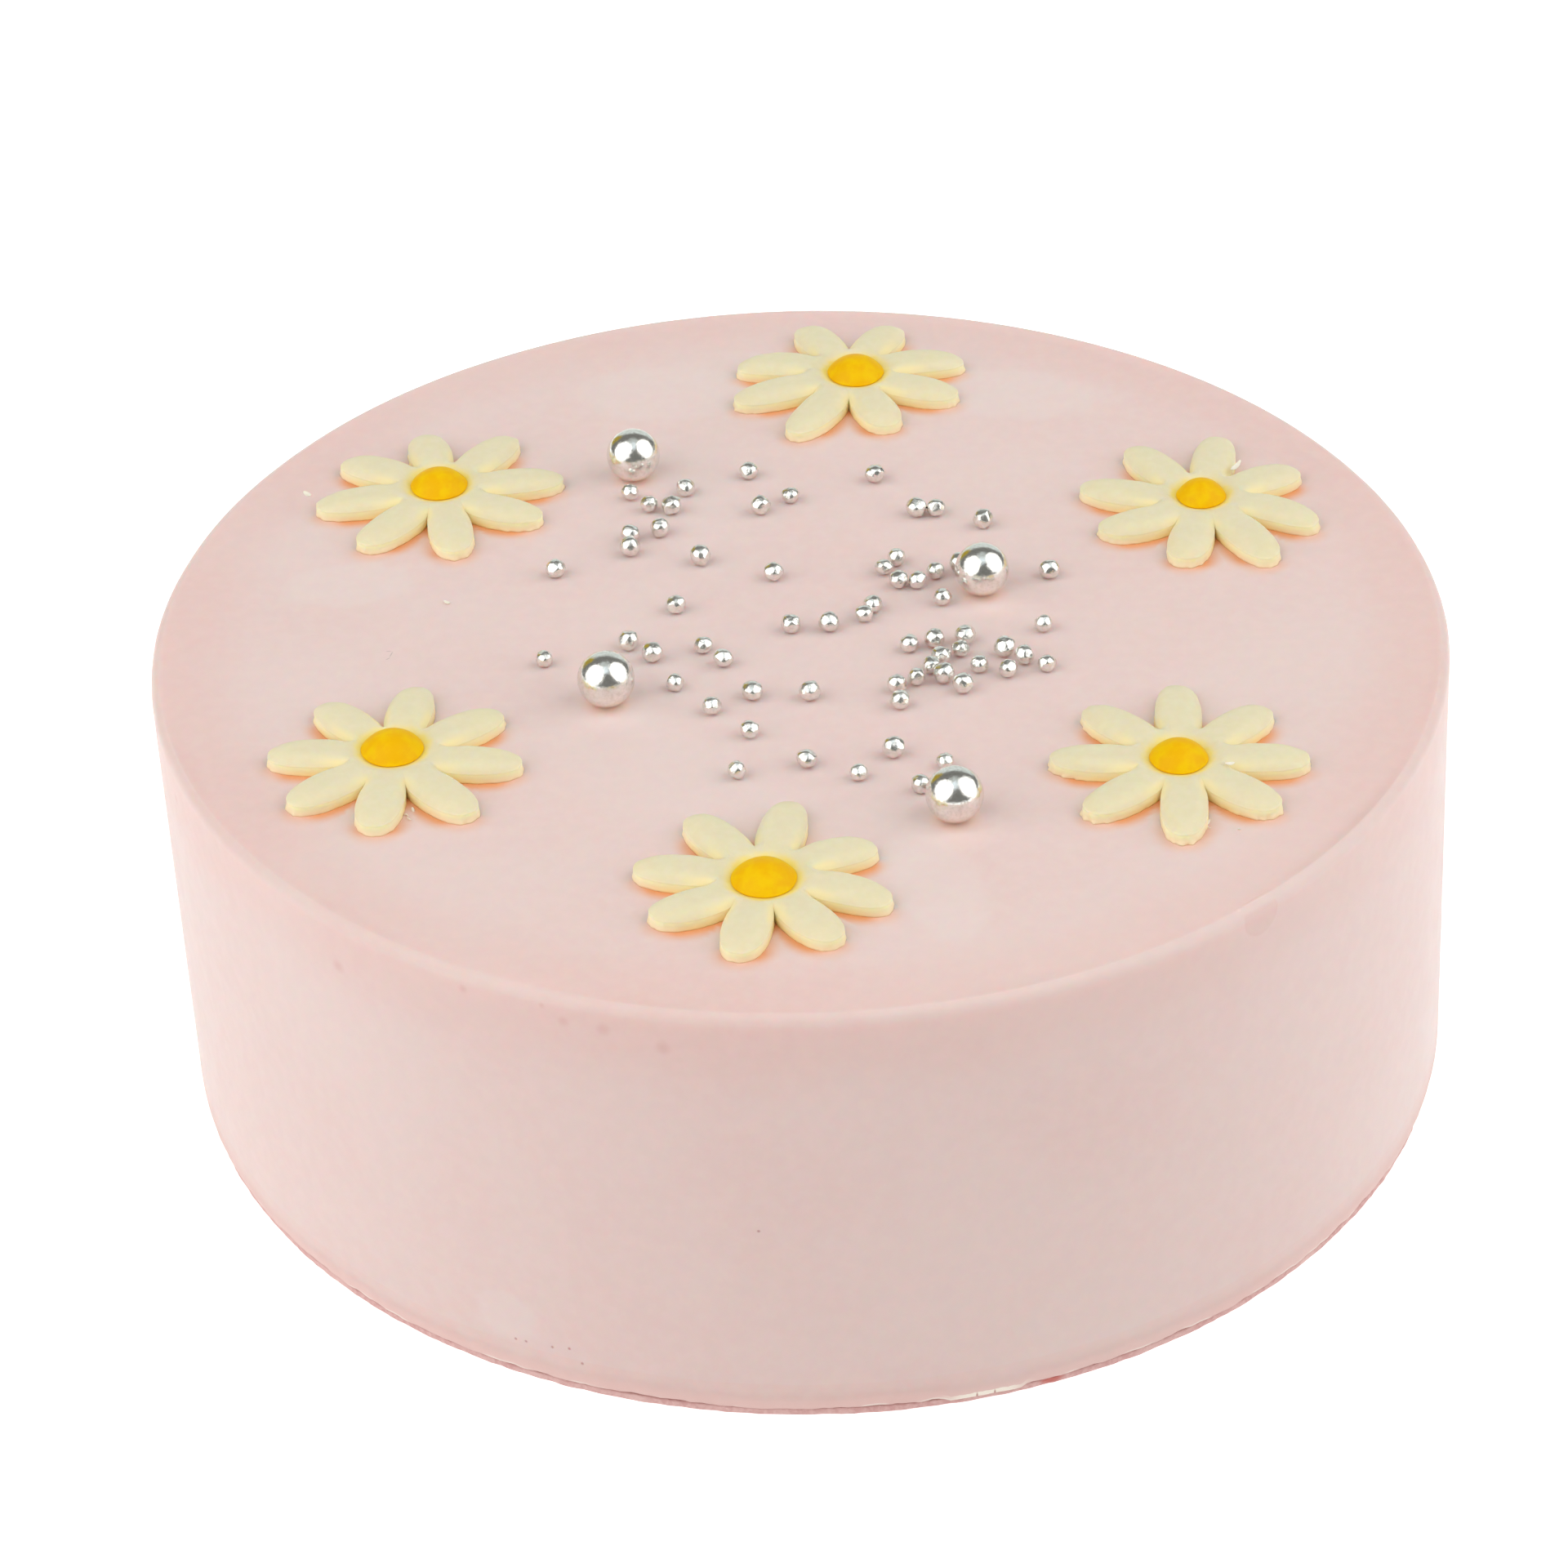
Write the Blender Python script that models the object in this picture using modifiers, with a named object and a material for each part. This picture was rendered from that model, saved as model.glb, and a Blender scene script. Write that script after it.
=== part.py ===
"""A round birthday cake: a straight-sided cake in pink glaze, on a thin bare base layer.

Six cut daisies with yellow centres stand in a ring on the top, four large silver sugar pearls
lie inside the ring, and small silver pearls are scattered over the middle. Metres, +Z up. The
origin is the middle of the underside, and -Y is the front.
"""

import math
import random

import bmesh
import bpy
from mathutils import Matrix, Vector

MM = 0.001

# Driving dimensions
CAKE_RADIUS = 90 * MM
CAKE_HEIGHT = 66 * MM
RIM_ROUND = 1.5 * MM
LEAN = 1.2 * MM  # how far the top sits to the left of the foot
BASE_THICKNESS = 1.2 * MM
BASE_RECESS = 0.6 * MM
GAP = 0.3 * MM  # between pieces that rest on each other

# The torn lower edge of the glaze
TORN_RISE = 0.8 * MM
TORN_LIP = 0.3 * MM
TORN_DEPTH = 0.7 * MM
TORN_SEED = 5

# Daisies: distance from the middle of the top, direction and turn in degrees, how far the
# yellow centre lies to the right and back of the middle, and its radius
DAISIES = (
    (67.0 * MM, 82.7, 21, (1.0 * MM, 0.0 * MM), 4.2 * MM),
    (64.6 * MM, 25.7, 32, (-0.1 * MM, 0.7 * MM), 3.55 * MM),
    (62.5 * MM, -36.3, 43, (-0.4 * MM, -0.4 * MM), 3.9 * MM),
    (61.9 * MM, -95.0, 32, (0.0 * MM, -0.6 * MM), 4.3 * MM),
    (63.0 * MM, -150.1, 37, (-0.3 * MM, 1.3 * MM), 4.25 * MM),
    (63.1 * MM, 144.3, 10, (-0.2 * MM, 0.6 * MM), 4.1 * MM),
)
# The petals of each daisy: how far out each tip reaches, in tenths of a millimetre, and the
# degrees by which it points aside
PETAL_TIPS = (
    ((175, -10), (158, -4), (161, 3), (169, 12), (182, 0), (183, -4), (160, 0), (172, 1)),
    ((163, -4), (180, 1), (179, -1), (178, -3), (165, -7), (158, -1), (179, -3), (173, -10)),
    ((170, 0), (177, 0), (174, 0), (175, -2), (175, -2), (176, -1), (166, 2), (170, 0)),
    ((161, -7), (178, 1), (175, 1), (173, 1), (164, -5), (163, 0), (163, 2), (172, -6)),
    ((172, -1), (171, 0), (170, 2), (172, 3), (169, 0), (162, 0), (172, 2), (172, 1)),
    ((178, -2), (176, 0), (159, 1), (170, 4), (180, 1), (177, -2), (169, 0), (167, 6)),
)
DAISY_RISE = 2.7 * MM  # the crown of a petal above the glaze
TENTH = 0.1 * MM
PETAL_MIDDLE = 10.3 * MM  # from the daisy's middle to a petal's middle
PETAL_INNER = 7.1 * MM  # length of a petal's inner half, from the petal's middle
PETAL_HALF_WIDTH = 3.15 * MM
PETAL_TIP = 2.35  # exponent of the outline's outer half: above 2 is blunter than an ellipse
PETAL_ROOT = 2.1  # exponent of its inner half
PETAL_JOIN = 8 * MM  # petals point aside from this far out
PETAL_EDGE_DROP = 1.0 * MM  # the edge of a petal lies this much below its crown
PETAL_ROUND = 5  # exponent of the fall towards the edge: higher is a flatter crown
NOTCH_FADE = (5.4 * MM, 7.8 * MM)  # the creases of the notches fade out between these distances
CENTRE_DIP = 0.9 * MM  # the seat of the yellow centre lies this much below the crown
CENTRE_SLOPE = 0.35  # rise of the petals away from the seat
CENTRE_MARGIN = 0.1 * MM  # by which the seat is wider than the yellow centre
CENTRE_HEIGHT = 2.3 * MM

# Large pearls: place on the top, from its middle
LARGE_PEARLS = (
    (-23.3 * MM, 41.4 * MM),
    (25.8 * MM, 8.0 * MM),
    (-26.4 * MM, -17.4 * MM),
    (19.8 * MM, -47.0 * MM),
)
LARGE_PEARL_RADIUS = 3.85 * MM

# Small pearls, dropped in pinches: middle of the pinch, its reach, how many, and its seed
PINCHES = (
    (-19 * MM, 34 * MM, 6 * MM, 4, 20138),
    (-4 * MM, 35 * MM, 7 * MM, 3, 48888),
    (19 * MM, 31 * MM, 11 * MM, 4, 49730),
    (-22 * MM, 23 * MM, 4 * MM, 3, 38955),
    (-9 * MM, 15 * MM, 7 * MM, 2, 16390),
    (17 * MM, 11 * MM, 7 * MM, 7, 19388),
    (35 * MM, 4 * MM, 8 * MM, 2, 27372),
    (6 * MM, 1 * MM, 8 * MM, 4, 22312),
    (-35 * MM, 4 * MM, 13 * MM, 2, 56759),
    (-20 * MM, -2 * MM, 8 * MM, 3, 45784),
    (-13 * MM, -13 * MM, 9 * MM, 4, 58884),
    (-4 * MM, -21 * MM, 7 * MM, 3, 57011),
    (19 * MM, -8 * MM, 5 * MM, 5, 22236),
    (18 * MM, -17 * MM, 7 * MM, 6, 189167),
    (29 * MM, -11 * MM, 5 * MM, 5, 44845),
    (-1 * MM, -36 * MM, 11 * MM, 3, 56031),
    (16 * MM, -36 * MM, 6 * MM, 3, 38023),
)
PEARL_SPACING = 2.4 * MM  # least distance between the middles of two small pearls
PEARL_CLEARANCE = 5.4 * MM  # least distance from the middle of a large pearl
PEARL_RADIUS = (1.2 * MM, 1.5 * MM)  # least and most
PEARL_FLATNESS = (0.88, 1.0)  # height as a share of width
PEARL_TILT = 30  # degrees by which a small pearl may lie askew
PEARL_SINK = 0.12  # share of its radius that a small pearl sinks into the glaze
PEARL_SEED = 3

# How finely the round pieces are divided
CAKE_SIDES = 128
RIM_STEPS = 4
BASE_SIDES = 96
STEPS_PER_PETAL = 10
PETAL_RINGS = (1.0, 0.9, 0.4)  # from the outline inwards, as shares of the way out
CENTRE_SIDES = 24
CENTRE_STEPS = 4
LARGE_PEARL_SIDES = 18
SMALL_PEARL_SIDES = 7
SMALL_PEARL_RINGS = 4

MERGE = 0.01 * MM  # points nearer than this are one
FLAT_ANGLE = math.radians(0.05)  # faces that turn less than this are one flat face
SHARP_ANGLE = math.radians(40)
NOTCH_STEPS = 200  # in which a petal's outline is searched for the notch beside it

# Colours, as linear RGB
GLAZE_PINK = (0.78, 0.58, 0.54)
BARE_BASE = (0.58, 0.36, 0.34)
CREAM_FONDANT = (0.84, 0.76, 0.52)
EGG_YELLOW = (0.95, 0.58, 0.01)
SILVER = (0.80, 0.79, 0.77)


def clear_scene():
    for obj in list(bpy.data.objects):
        bpy.data.objects.remove(obj, do_unlink=True)


def new_collection(name):
    collection = bpy.data.collections.new(name)
    bpy.context.scene.collection.children.link(collection)
    return collection


def plain_material(name, colour, roughness, metallic=0.0):
    material = bpy.data.materials.new(name)
    material.use_nodes = True
    shader = material.node_tree.nodes["Principled BSDF"]
    shader.inputs["Base Color"].default_value = (*colour, 1.0)
    shader.inputs["Roughness"].default_value = roughness
    shader.inputs["Metallic"].default_value = metallic
    return material


def make_materials():
    return {
        "glaze": plain_material("pink_glaze", GLAZE_PINK, 0.4),
        "base": plain_material("bare_base", BARE_BASE, 0.8),
        "fondant": plain_material("cream_fondant", CREAM_FONDANT, 0.6),
        "centre": plain_material("yellow_icing", EGG_YELLOW, 0.35),
        "silver": plain_material("silver_sugar", SILVER, 0.15, 1.0),
    }


def add_object(name, mesh, collection, material=None):
    """A new smooth-shaded object that holds this mesh."""
    obj = bpy.data.objects.new(name, mesh)
    collection.objects.link(obj)
    if material:
        mesh.materials.append(material)
    mesh.shade_smooth()
    mesh.set_sharp_from_angle(angle=SHARP_ANGLE)
    return obj


def mesh_of(bm, name):
    """The bmesh as a mesh with its faces turned outwards."""
    bmesh.ops.recalc_face_normals(bm, faces=bm.faces)
    mesh = bpy.data.meshes.new(name)
    bm.to_mesh(mesh)
    bm.free()
    return mesh


def on_circle(distance, turn):
    return Vector((distance * math.cos(turn), distance * math.sin(turn)))


def top_place(x, y, z):
    """A point above the top face, which the lean carries to the left."""
    return Vector((x - LEAN / 2, y, z))


def turned_object(name, profile, sides, collection, material):
    """A profile turned about Z: points of (distance from the axis, height), from the top down."""
    mesh = bpy.data.meshes.new(name)
    points = [(distance, 0.0, height) for distance, height in profile]
    mesh.from_pydata(points, [(index, index + 1) for index in range(len(points) - 1)], [])
    obj = add_object(name, mesh, collection, material)
    screw = obj.modifiers.new("turn", "SCREW")
    screw.steps = sides
    screw.render_steps = sides
    screw.use_merge_vertices = True
    screw.merge_threshold = MERGE
    return obj


def apply_modifiers(obj):
    graph = bpy.context.evaluated_depsgraph_get()
    finished = bpy.data.meshes.new_from_object(obj.evaluated_get(graph))
    obj.modifiers.clear()
    obj.data = finished


def loft_rings(bm, rings):
    """Skins a stack of rings with the same number of points, and closes both ends."""
    loops = [[bm.verts.new(point) for point in ring] for ring in rings]
    for low, high in zip(loops, loops[1:]):
        for index in range(len(low)):
            after = (index + 1) % len(low)
            bm.faces.new((low[index], low[after], high[after], high[index]))
    bm.faces.new(loops[0])
    bm.faces.new(loops[-1])


def cake_profile():
    """The side of the cake: flat top, rounded rim, straight wall, drawn-in torn foot."""
    foot = BASE_THICKNESS + GAP
    profile = [(0.0, CAKE_HEIGHT)]
    for step in range(RIM_STEPS + 1):
        turn = 0.5 * math.pi * step / RIM_STEPS
        distance = CAKE_RADIUS - RIM_ROUND * (1 - math.sin(turn))
        height = CAKE_HEIGHT - RIM_ROUND * (1 - math.cos(turn))
        profile.append((distance, height))
    profile.append((CAKE_RADIUS, foot + TORN_LIP))
    profile.append((CAKE_RADIUS - TORN_DEPTH, foot))
    profile.append((0.0, foot))
    return profile


def tear_foot(bm):
    """Lifts the lowest point of the wall by an uneven amount, all the way round."""
    rng = random.Random(TORN_SEED)
    edge_height = BASE_THICKNESS + GAP + TORN_LIP
    edge = [vert for vert in bm.verts if abs(vert.co.z - edge_height) < MERGE]
    for vert in sorted(edge, key=lambda vert: math.atan2(vert.co.y, vert.co.x)):
        vert.co.z += TORN_RISE * rng.random() ** 2


def shape_cake(mesh):
    """Tears the foot, makes the top and the underside one face each, and leans the cake."""
    bm = bmesh.new()
    bm.from_mesh(mesh)
    tear_foot(bm)
    bmesh.ops.dissolve_limit(bm, angle_limit=FLAT_ANGLE, verts=bm.verts, edges=bm.edges)
    bm.to_mesh(mesh)
    bm.free()
    lean = Matrix.Shear("XY", 4, (-LEAN / CAKE_HEIGHT, 0.0))
    mesh.transform(Matrix.Translation((LEAN / 2, 0.0, 0.0)) @ lean)


def drop_pearls():
    """Where the small pearls lie on the top: each pinch falls inside its own round patch."""
    places = []
    for x, y, reach, count, seed in PINCHES:
        rng = random.Random(seed)
        goal = len(places) + count
        while len(places) < goal:
            turn = rng.uniform(0, 2 * math.pi)
            spot = Vector((x, y)) + on_circle(reach * math.sqrt(rng.random()), turn)
            free = all((spot - other).length > PEARL_SPACING for other in places)
            if free and all((spot - Vector(big)).length > PEARL_CLEARANCE for big in LARGE_PEARLS):
                places.append(spot)
    return places


def small_pearl_mesh(radius, flatness, tilt):
    bm = bmesh.new()
    bmesh.ops.create_uvsphere(
        bm, u_segments=SMALL_PEARL_SIDES, v_segments=SMALL_PEARL_RINGS, radius=radius
    )
    bmesh.ops.scale(bm, vec=(1.0, 1.0, flatness), verts=bm.verts)
    bmesh.ops.rotate(bm, matrix=tilt, verts=bm.verts)
    return mesh_of(bm, "small_pearl")


def make_small_pearls(collection):
    rng = random.Random(PEARL_SEED)
    askew = math.radians(PEARL_TILT)
    for index, spot in enumerate(drop_pearls()):
        radius = rng.uniform(*PEARL_RADIUS)
        flatness = rng.uniform(*PEARL_FLATNESS)
        spin = Matrix.Rotation(rng.uniform(0, math.pi), 3, "Z")
        tilt = spin @ Matrix.Rotation(rng.uniform(-askew, askew), 3, "X")
        mesh = small_pearl_mesh(radius, flatness, tilt)
        pearl = add_object(f"small_pearl_{index + 1}", mesh, collection)
        pearl.location = top_place(*spot, CAKE_HEIGHT + radius * (flatness - PEARL_SINK))


def join_pearls(cake, pearls):
    """Fuses the small pearls to the glaze that they lie on, and removes the loose ones."""
    joining = cake.modifiers.new("join_pearls", "BOOLEAN")
    joining.operation = "UNION"
    joining.operand_type = "COLLECTION"
    joining.collection = pearls
    apply_modifiers(cake)
    for pearl in list(pearls.objects):
        bpy.data.objects.remove(pearl, do_unlink=True)
    bpy.data.collections.remove(pearls)


def make_cake(collection, material):
    cake = turned_object("cake", cake_profile(), CAKE_SIDES, collection, material)
    apply_modifiers(cake)
    shape_cake(cake.data)
    pearls = new_collection("small_pearls")
    make_small_pearls(pearls)
    join_pearls(cake, pearls)


def make_base_layer(collection, material):
    radius = CAKE_RADIUS - BASE_RECESS
    profile = [(0.0, BASE_THICKNESS), (radius, BASE_THICKNESS), (radius, 0.0), (0.0, 0.0)]
    base = turned_object("base_layer", profile, BASE_SIDES, collection, material)
    base.location.x = LEAN / 2


def half_of_petal(outwards, reach):
    """The length and the outline's exponent of a petal's outer or inner half."""
    if outwards > 0:
        return reach - PETAL_MIDDLE, PETAL_TIP
    return PETAL_INNER, PETAL_ROOT


def petal_depth(along, across, reach):
    """How far out in a petal a point lies: 0 at its middle, 1 on its outline, more outside."""
    half_length, blunt = half_of_petal(along - PETAL_MIDDLE, reach)
    lengthways = abs(along - PETAL_MIDDLE) / half_length
    sideways = abs(across) / PETAL_HALF_WIDTH
    return (lengthways**blunt + sideways**blunt) ** (1 / blunt)


def outline_point(turn, reach):
    """A point of a petal's outline, at this angle about the petal's middle."""
    half_length, blunt = half_of_petal(math.cos(turn), reach)
    lengthways = math.copysign(abs(math.cos(turn)) ** (2 / blunt), math.cos(turn))
    sideways = math.copysign(abs(math.sin(turn)) ** (2 / blunt), math.sin(turn))
    return Vector((PETAL_MIDDLE + half_length * lengthways, PETAL_HALF_WIDTH * sideways))


def notch_turn(petals):
    """The angle about a petal's middle at which its outline first meets, or nears, the next."""
    furthest = math.tan(math.pi / petals)

    def slope(turn):
        point = outline_point(turn, PETAL_MIDDLE)
        return min(furthest, point.y / point.x)

    turns = [math.pi / 2 * (1 + step / NOTCH_STEPS) for step in range(1, NOTCH_STEPS)]
    return max(turns, key=slope)


def daisy_petals(tips):
    """For each petal, its direction, the reach of its tip and the angle that it points aside."""
    return [
        (2 * math.pi * index / len(tips), reach * TENTH, math.radians(aside))
        for index, (reach, aside) in enumerate(tips)
    ]


def midline_turn(petal, distance):
    """The direction of a petal's midline at this distance from the daisy's middle."""
    direction, reach, aside = petal
    return direction + aside * max(0.0, distance - PETAL_JOIN) / (reach - PETAL_JOIN)


def daisy_outline(petals):
    """Points round a daisy, each with the petal that it belongs to."""
    widest = notch_turn(len(petals))
    outline = []
    for petal in petals:
        for step in range(STEPS_PER_PETAL):
            point = outline_point(widest * (2 * step / STEPS_PER_PETAL - 1), petal[1])
            turn = midline_turn(petal, point.length) + math.atan2(point.y, point.x)
            outline.append((on_circle(point.length, turn), petal))
    return outline


def smooth_step(value, low, high):
    """0 below low, 1 above high, and a smooth rise between them."""
    share = min(1.0, max(0.0, (value - low) / (high - low)))
    return share * share * (3 - 2 * share)


def crown_height(spot, petal, centre, radius):
    """The top of a daisy: the pillow of its petals, and the seat of its yellow centre."""
    turn = math.atan2(spot.y, spot.x) - midline_turn(petal, spot.length)
    local = on_circle(spot.length, turn)
    depth = min(1.0, petal_depth(local.x, local.y, petal[1]))
    drop = PETAL_EDGE_DROP * smooth_step(spot.length, *NOTCH_FADE)
    pillow = DAISY_RISE - drop * depth**PETAL_ROUND
    away = max(0.0, (spot - centre).length - radius)
    return min(pillow, DAISY_RISE - CENTRE_DIP + CENTRE_SLOPE * away)


def seat_point(direction, centre, radius):
    """Where a ray from the daisy's middle crosses the edge of the seat, which lies off it."""
    along = centre.dot(direction)
    return direction * (along + math.sqrt(along**2 - centre.length_squared + radius**2))


def daisy_rings(petals, centre, radius):
    """The rings of a daisy: its foot, its crown from the outline inwards, and the seat."""
    outline = daisy_outline(petals)
    seat = [seat_point(spot.normalized(), centre, radius) for spot, _ in outline]
    rings = [[(*spot, GAP) for spot, _ in outline]]
    for share in PETAL_RINGS:
        ring = []
        for inner, (spot, petal) in zip(seat, outline):
            place = inner.lerp(spot, share)
            ring.append((*place, crown_height(place, petal, centre, radius)))
        rings.append(ring)
    rings.append([(*inner, DAISY_RISE - CENTRE_DIP) for inner in seat])
    return rings


def make_daisy(name, daisy, tips, collection, material):
    distance, direction, turn, centre, radius = daisy
    upright = Matrix.Rotation(-math.radians(turn), 2)
    rings = daisy_rings(daisy_petals(tips), upright @ Vector(centre), radius + CENTRE_MARGIN)
    bm = bmesh.new()
    loft_rings(bm, rings)
    petals = add_object(name, mesh_of(bm, name), collection, material)
    petals.location = top_place(*on_circle(distance, math.radians(direction)), CAKE_HEIGHT)
    petals.rotation_euler.z = math.radians(turn)


def make_centre(name, daisy, collection, material):
    """The yellow dome near the middle of a daisy."""
    distance, direction, _, centre, radius = daisy
    profile = []
    for step in range(CENTRE_STEPS + 1):
        turn = 0.5 * math.pi * step / CENTRE_STEPS
        profile.append((radius * math.sin(turn), CENTRE_HEIGHT * math.cos(turn)))
    profile.append((0.0, 0.0))
    dome = turned_object(name, profile, CENTRE_SIDES, collection, material)
    place = on_circle(distance, math.radians(direction)) + Vector(centre)
    dome.location = top_place(*place, CAKE_HEIGHT + DAISY_RISE - CENTRE_DIP + GAP)


def make_large_pearl(name, place, collection, material):
    bm = bmesh.new()
    bmesh.ops.create_uvsphere(
        bm,
        u_segments=LARGE_PEARL_SIDES,
        v_segments=LARGE_PEARL_SIDES // 2,
        radius=LARGE_PEARL_RADIUS,
    )
    pearl = add_object(name, mesh_of(bm, name), collection, material)
    pearl.location = top_place(*place, CAKE_HEIGHT + GAP + LARGE_PEARL_RADIUS)


def main():
    clear_scene()
    collection = new_collection("birthday_cake")
    materials = make_materials()
    make_base_layer(collection, materials["base"])
    make_cake(collection, materials["glaze"])
    for number, (daisy, tips) in enumerate(zip(DAISIES, PETAL_TIPS), start=1):
        make_daisy(f"daisy_{number}", daisy, tips, collection, materials["fondant"])
        make_centre(f"daisy_centre_{number}", daisy, collection, materials["centre"])
    for number, place in enumerate(LARGE_PEARLS, start=1):
        make_large_pearl(f"large_pearl_{number}", place, collection, materials["silver"])


main()
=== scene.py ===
import math
import random

import bmesh
import bpy
from mathutils import Euler, Matrix, Vector, noise
from mathutils.kdtree import KDTree


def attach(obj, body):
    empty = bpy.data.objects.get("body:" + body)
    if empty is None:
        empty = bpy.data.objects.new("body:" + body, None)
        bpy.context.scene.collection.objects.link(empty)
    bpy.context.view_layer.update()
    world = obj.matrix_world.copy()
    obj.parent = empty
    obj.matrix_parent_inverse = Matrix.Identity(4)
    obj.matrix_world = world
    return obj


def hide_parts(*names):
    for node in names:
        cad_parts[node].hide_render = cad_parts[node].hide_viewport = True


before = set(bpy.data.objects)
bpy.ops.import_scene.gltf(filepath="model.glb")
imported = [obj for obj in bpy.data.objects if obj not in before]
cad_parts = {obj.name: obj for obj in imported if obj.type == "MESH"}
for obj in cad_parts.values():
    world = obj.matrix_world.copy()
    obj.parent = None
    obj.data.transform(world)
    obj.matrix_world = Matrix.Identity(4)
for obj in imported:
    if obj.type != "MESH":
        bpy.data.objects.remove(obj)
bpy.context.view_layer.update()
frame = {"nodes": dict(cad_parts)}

# A round birthday cake in poured pink glaze. Six cut fondant daisies stand in a ring on its top
# round four large silver sugar pearls and a scatter of small ones. Lengths are in millimetres in
# the functions below, and each finished mesh is scaled to metres once.

MM = 0.001

# The cake, as in the frame
CAKE_RADIUS = 90
CAKE_HEIGHT = 66
RIM_ROUND = 1.5
LEAN = 1.2  # the top sits this far to the left of the foot
BASE_RECESS = 0.45
# The side of the base, inset and height, from its top to its underside
BASE_SIDE = ((3, 1.12), (0.15, 1.1), (0, 1), (0, 0.7), (0, 0.4), (0, 0.15), (0.12, 0), (3, 0))
BASE_CRUMB = (0.14, 0.08, 0.1)  # coarse and fine unevenness of that side, and its inset

# The glaze
GLAZE_SIDES = 700
MERGE = 0.0005  # points closer than this are one
TOP_RING_WIDTHS = ((0, 42, 3.0), (42, 83, 0.6), (83, 87.3, 1.1))  # from, to, and width
GLOW_REACH = 2.6  # how far the daisies light up the glaze in front of them
GLOW_NEIGHBOURS = 5  # points of the outline that say which way it looks
TIP_FADE = 0.6  # how much weaker that is before a petal's tip
TIP_ZONE = (14.5, 17.0)  # tips lie this far from a daisy's middle
NOTCH_GLOW = (12.0, 8.5)  # and notches this far: they glow all round
GLOW_FRONT = (-0.05, 0.7)  # how far the outline looks to the front where it starts and is full
GLOW_START = 0.1  # full up to this far from the daisy
TOP_WAVE = 0.05  # heights of the faint waves in the top,
WALL_WAVE = 0.09  # in the wall,
WALL_RIPPLE = 0.025  # of its finer ripple,
FOOT_WAVE = 0.08  # and of the wall near its foot
RIM_RINGS = 12
WALL_RINGS = 22
WALL_CROWDING = 0.9  # below 1, the rings stand closer towards the foot
TORN_ZONE = 3.0  # height up to which the torn edge moves the wall,
TORN_DEPTH = 3.5  # and how far in it moves the underside
TORN_LINE = 1.5  # mean height of the torn edge before it is torn
FOOT_HEIGHTS = (2.6, 2.25, 1.95, 1.75, 1.6, TORN_LINE)  # rings of the wall in that zone
UNDERSIDE = ((0.08, 1.4), (0.28, 1.36), (0.6, 1.42), (1.4, 1.3), (3.0, 1.1))  # inset, height
UNDERSIDE_HEIGHT = 1.1
WAVE_HEIGHT = 0.3  # slow waves of the torn edge,
BITE_HEIGHT = 0.5  # bites out of it,
NICK_HEIGHT = 0.2  # and nicks in it
CHIP = (-76.6, 3.1, 0.95)  # a chipped stretch of the torn edge: direction, half length, height
CHIP_END = 0.6  # degrees over which the chip begins
CHIP_RAGGED = 0.4  # how much of the bites and nicks its edge keeps
# The cracks are painted darker, as shade in them
CRACKS = (-77.45, -75.9)  # directions of two cracks in the chip

# Daisies: distance from the middle of the top, direction and turn in degrees, how far the
# yellow centre lies to the right and back of the middle, and its radius
DAISIES = (
    (67.0, 82.7, 21, (1.0, 0.0), 4.2),
    (64.6, 25.7, 32, (-0.1, 0.7), 3.55),
    (62.5, -36.3, 43, (-0.4, -0.4), 3.9),
    (61.9, -95.0, 32, (0.0, -0.6), 4.3),
    (63.0, -150.1, 37, (-0.3, 1.3), 4.25),
    (63.1, 144.3, 10, (-0.2, 0.6), 4.1),
)
# The petals of each daisy: how far out each tip reaches, in tenths of a millimetre, and the
# degrees by which it points aside
PETAL_TIPS = (
    ((175, -10), (158, -4), (161, 3), (169, 12), (182, 0), (183, -4), (160, 0), (172, 1)),
    ((163, -4), (180, 1), (179, -1), (178, -3), (165, -7), (158, -1), (179, -3), (173, -10)),
    ((170, 0), (177, 0), (174, 0), (175, -2), (175, -2), (176, -1), (166, 2), (170, 0)),
    ((161, -7), (178, 1), (175, 1), (173, 1), (164, -5), (163, 0), (163, 2), (172, -6)),
    ((172, -1), (171, 0), (170, 2), (172, 3), (169, 0), (162, 0), (172, 2), (172, 1)),
    ((178, -2), (176, 0), (159, 1), (170, 4), (180, 1), (177, -2), (169, 0), (167, 6)),
)
DAISY_RISE = 2.7
TENTH = 0.1
PETAL_MIDDLE = 10.3
PETAL_INNER = 7.1
PETAL_HALF_WIDTH = 3.15
PETAL_TIP = 2.35
PETAL_ROOT = 2.1
PETAL_JOIN = 8
PETAL_EDGE_DROP = 1.2
PETAL_ROUND = 4.0
NOTCH_FADE = (5.4, 7.8)  # the creases of the notches fade out between these distances
CENTRE_DIP = 0.75
CENTRE_SLOPE = 0.35
CENTRE_HEIGHT = 2.45
CENTRE_BLUNT = 0.85  # exponent of its dome: 0.5 is half an ellipse
CENTRE_FOOT = (0.2, 0.25)  # inset and depth of its hidden foot
CENTRE_LIFT = 0.02
CENTRE_LUMPS = (0.035, 3.0)  # share by which it bulges, and width of the bulges
CENTRE_STEPS = 16
CENTRE_SIDES = 64
STEPS_PER_PETAL = 80
RAGGED = (1.2, 1.2, 2.0, 0.7, 1.0, 1.5)  # how ragged the cut of each daisy is
BURR = 0.2  # how far the burr at the foot of the cut stands out,
BURR_RAGGED = 0.22  # and how far it frays
BURR_HEIGHT = 0.9
NICKS = 0.07
CUT_WAVE = 0.1
CROWN_WAVE = (0.05, 2.5)  # height and width of the waves in the crown
SHOULDER = 0.93  # share of the way out from which the crown is nicked too
SEAT_SINK = 0.1  # how far the hidden seat of the yellow centre lies below its rim
DAISY_SINK = 0.06  # how far a daisy is pressed into the glaze
NOTCH_STEPS = 200
WALL_HEIGHTS = (0.0, 0.2, 0.45, 0.75, 1.1, 1.45)
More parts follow.
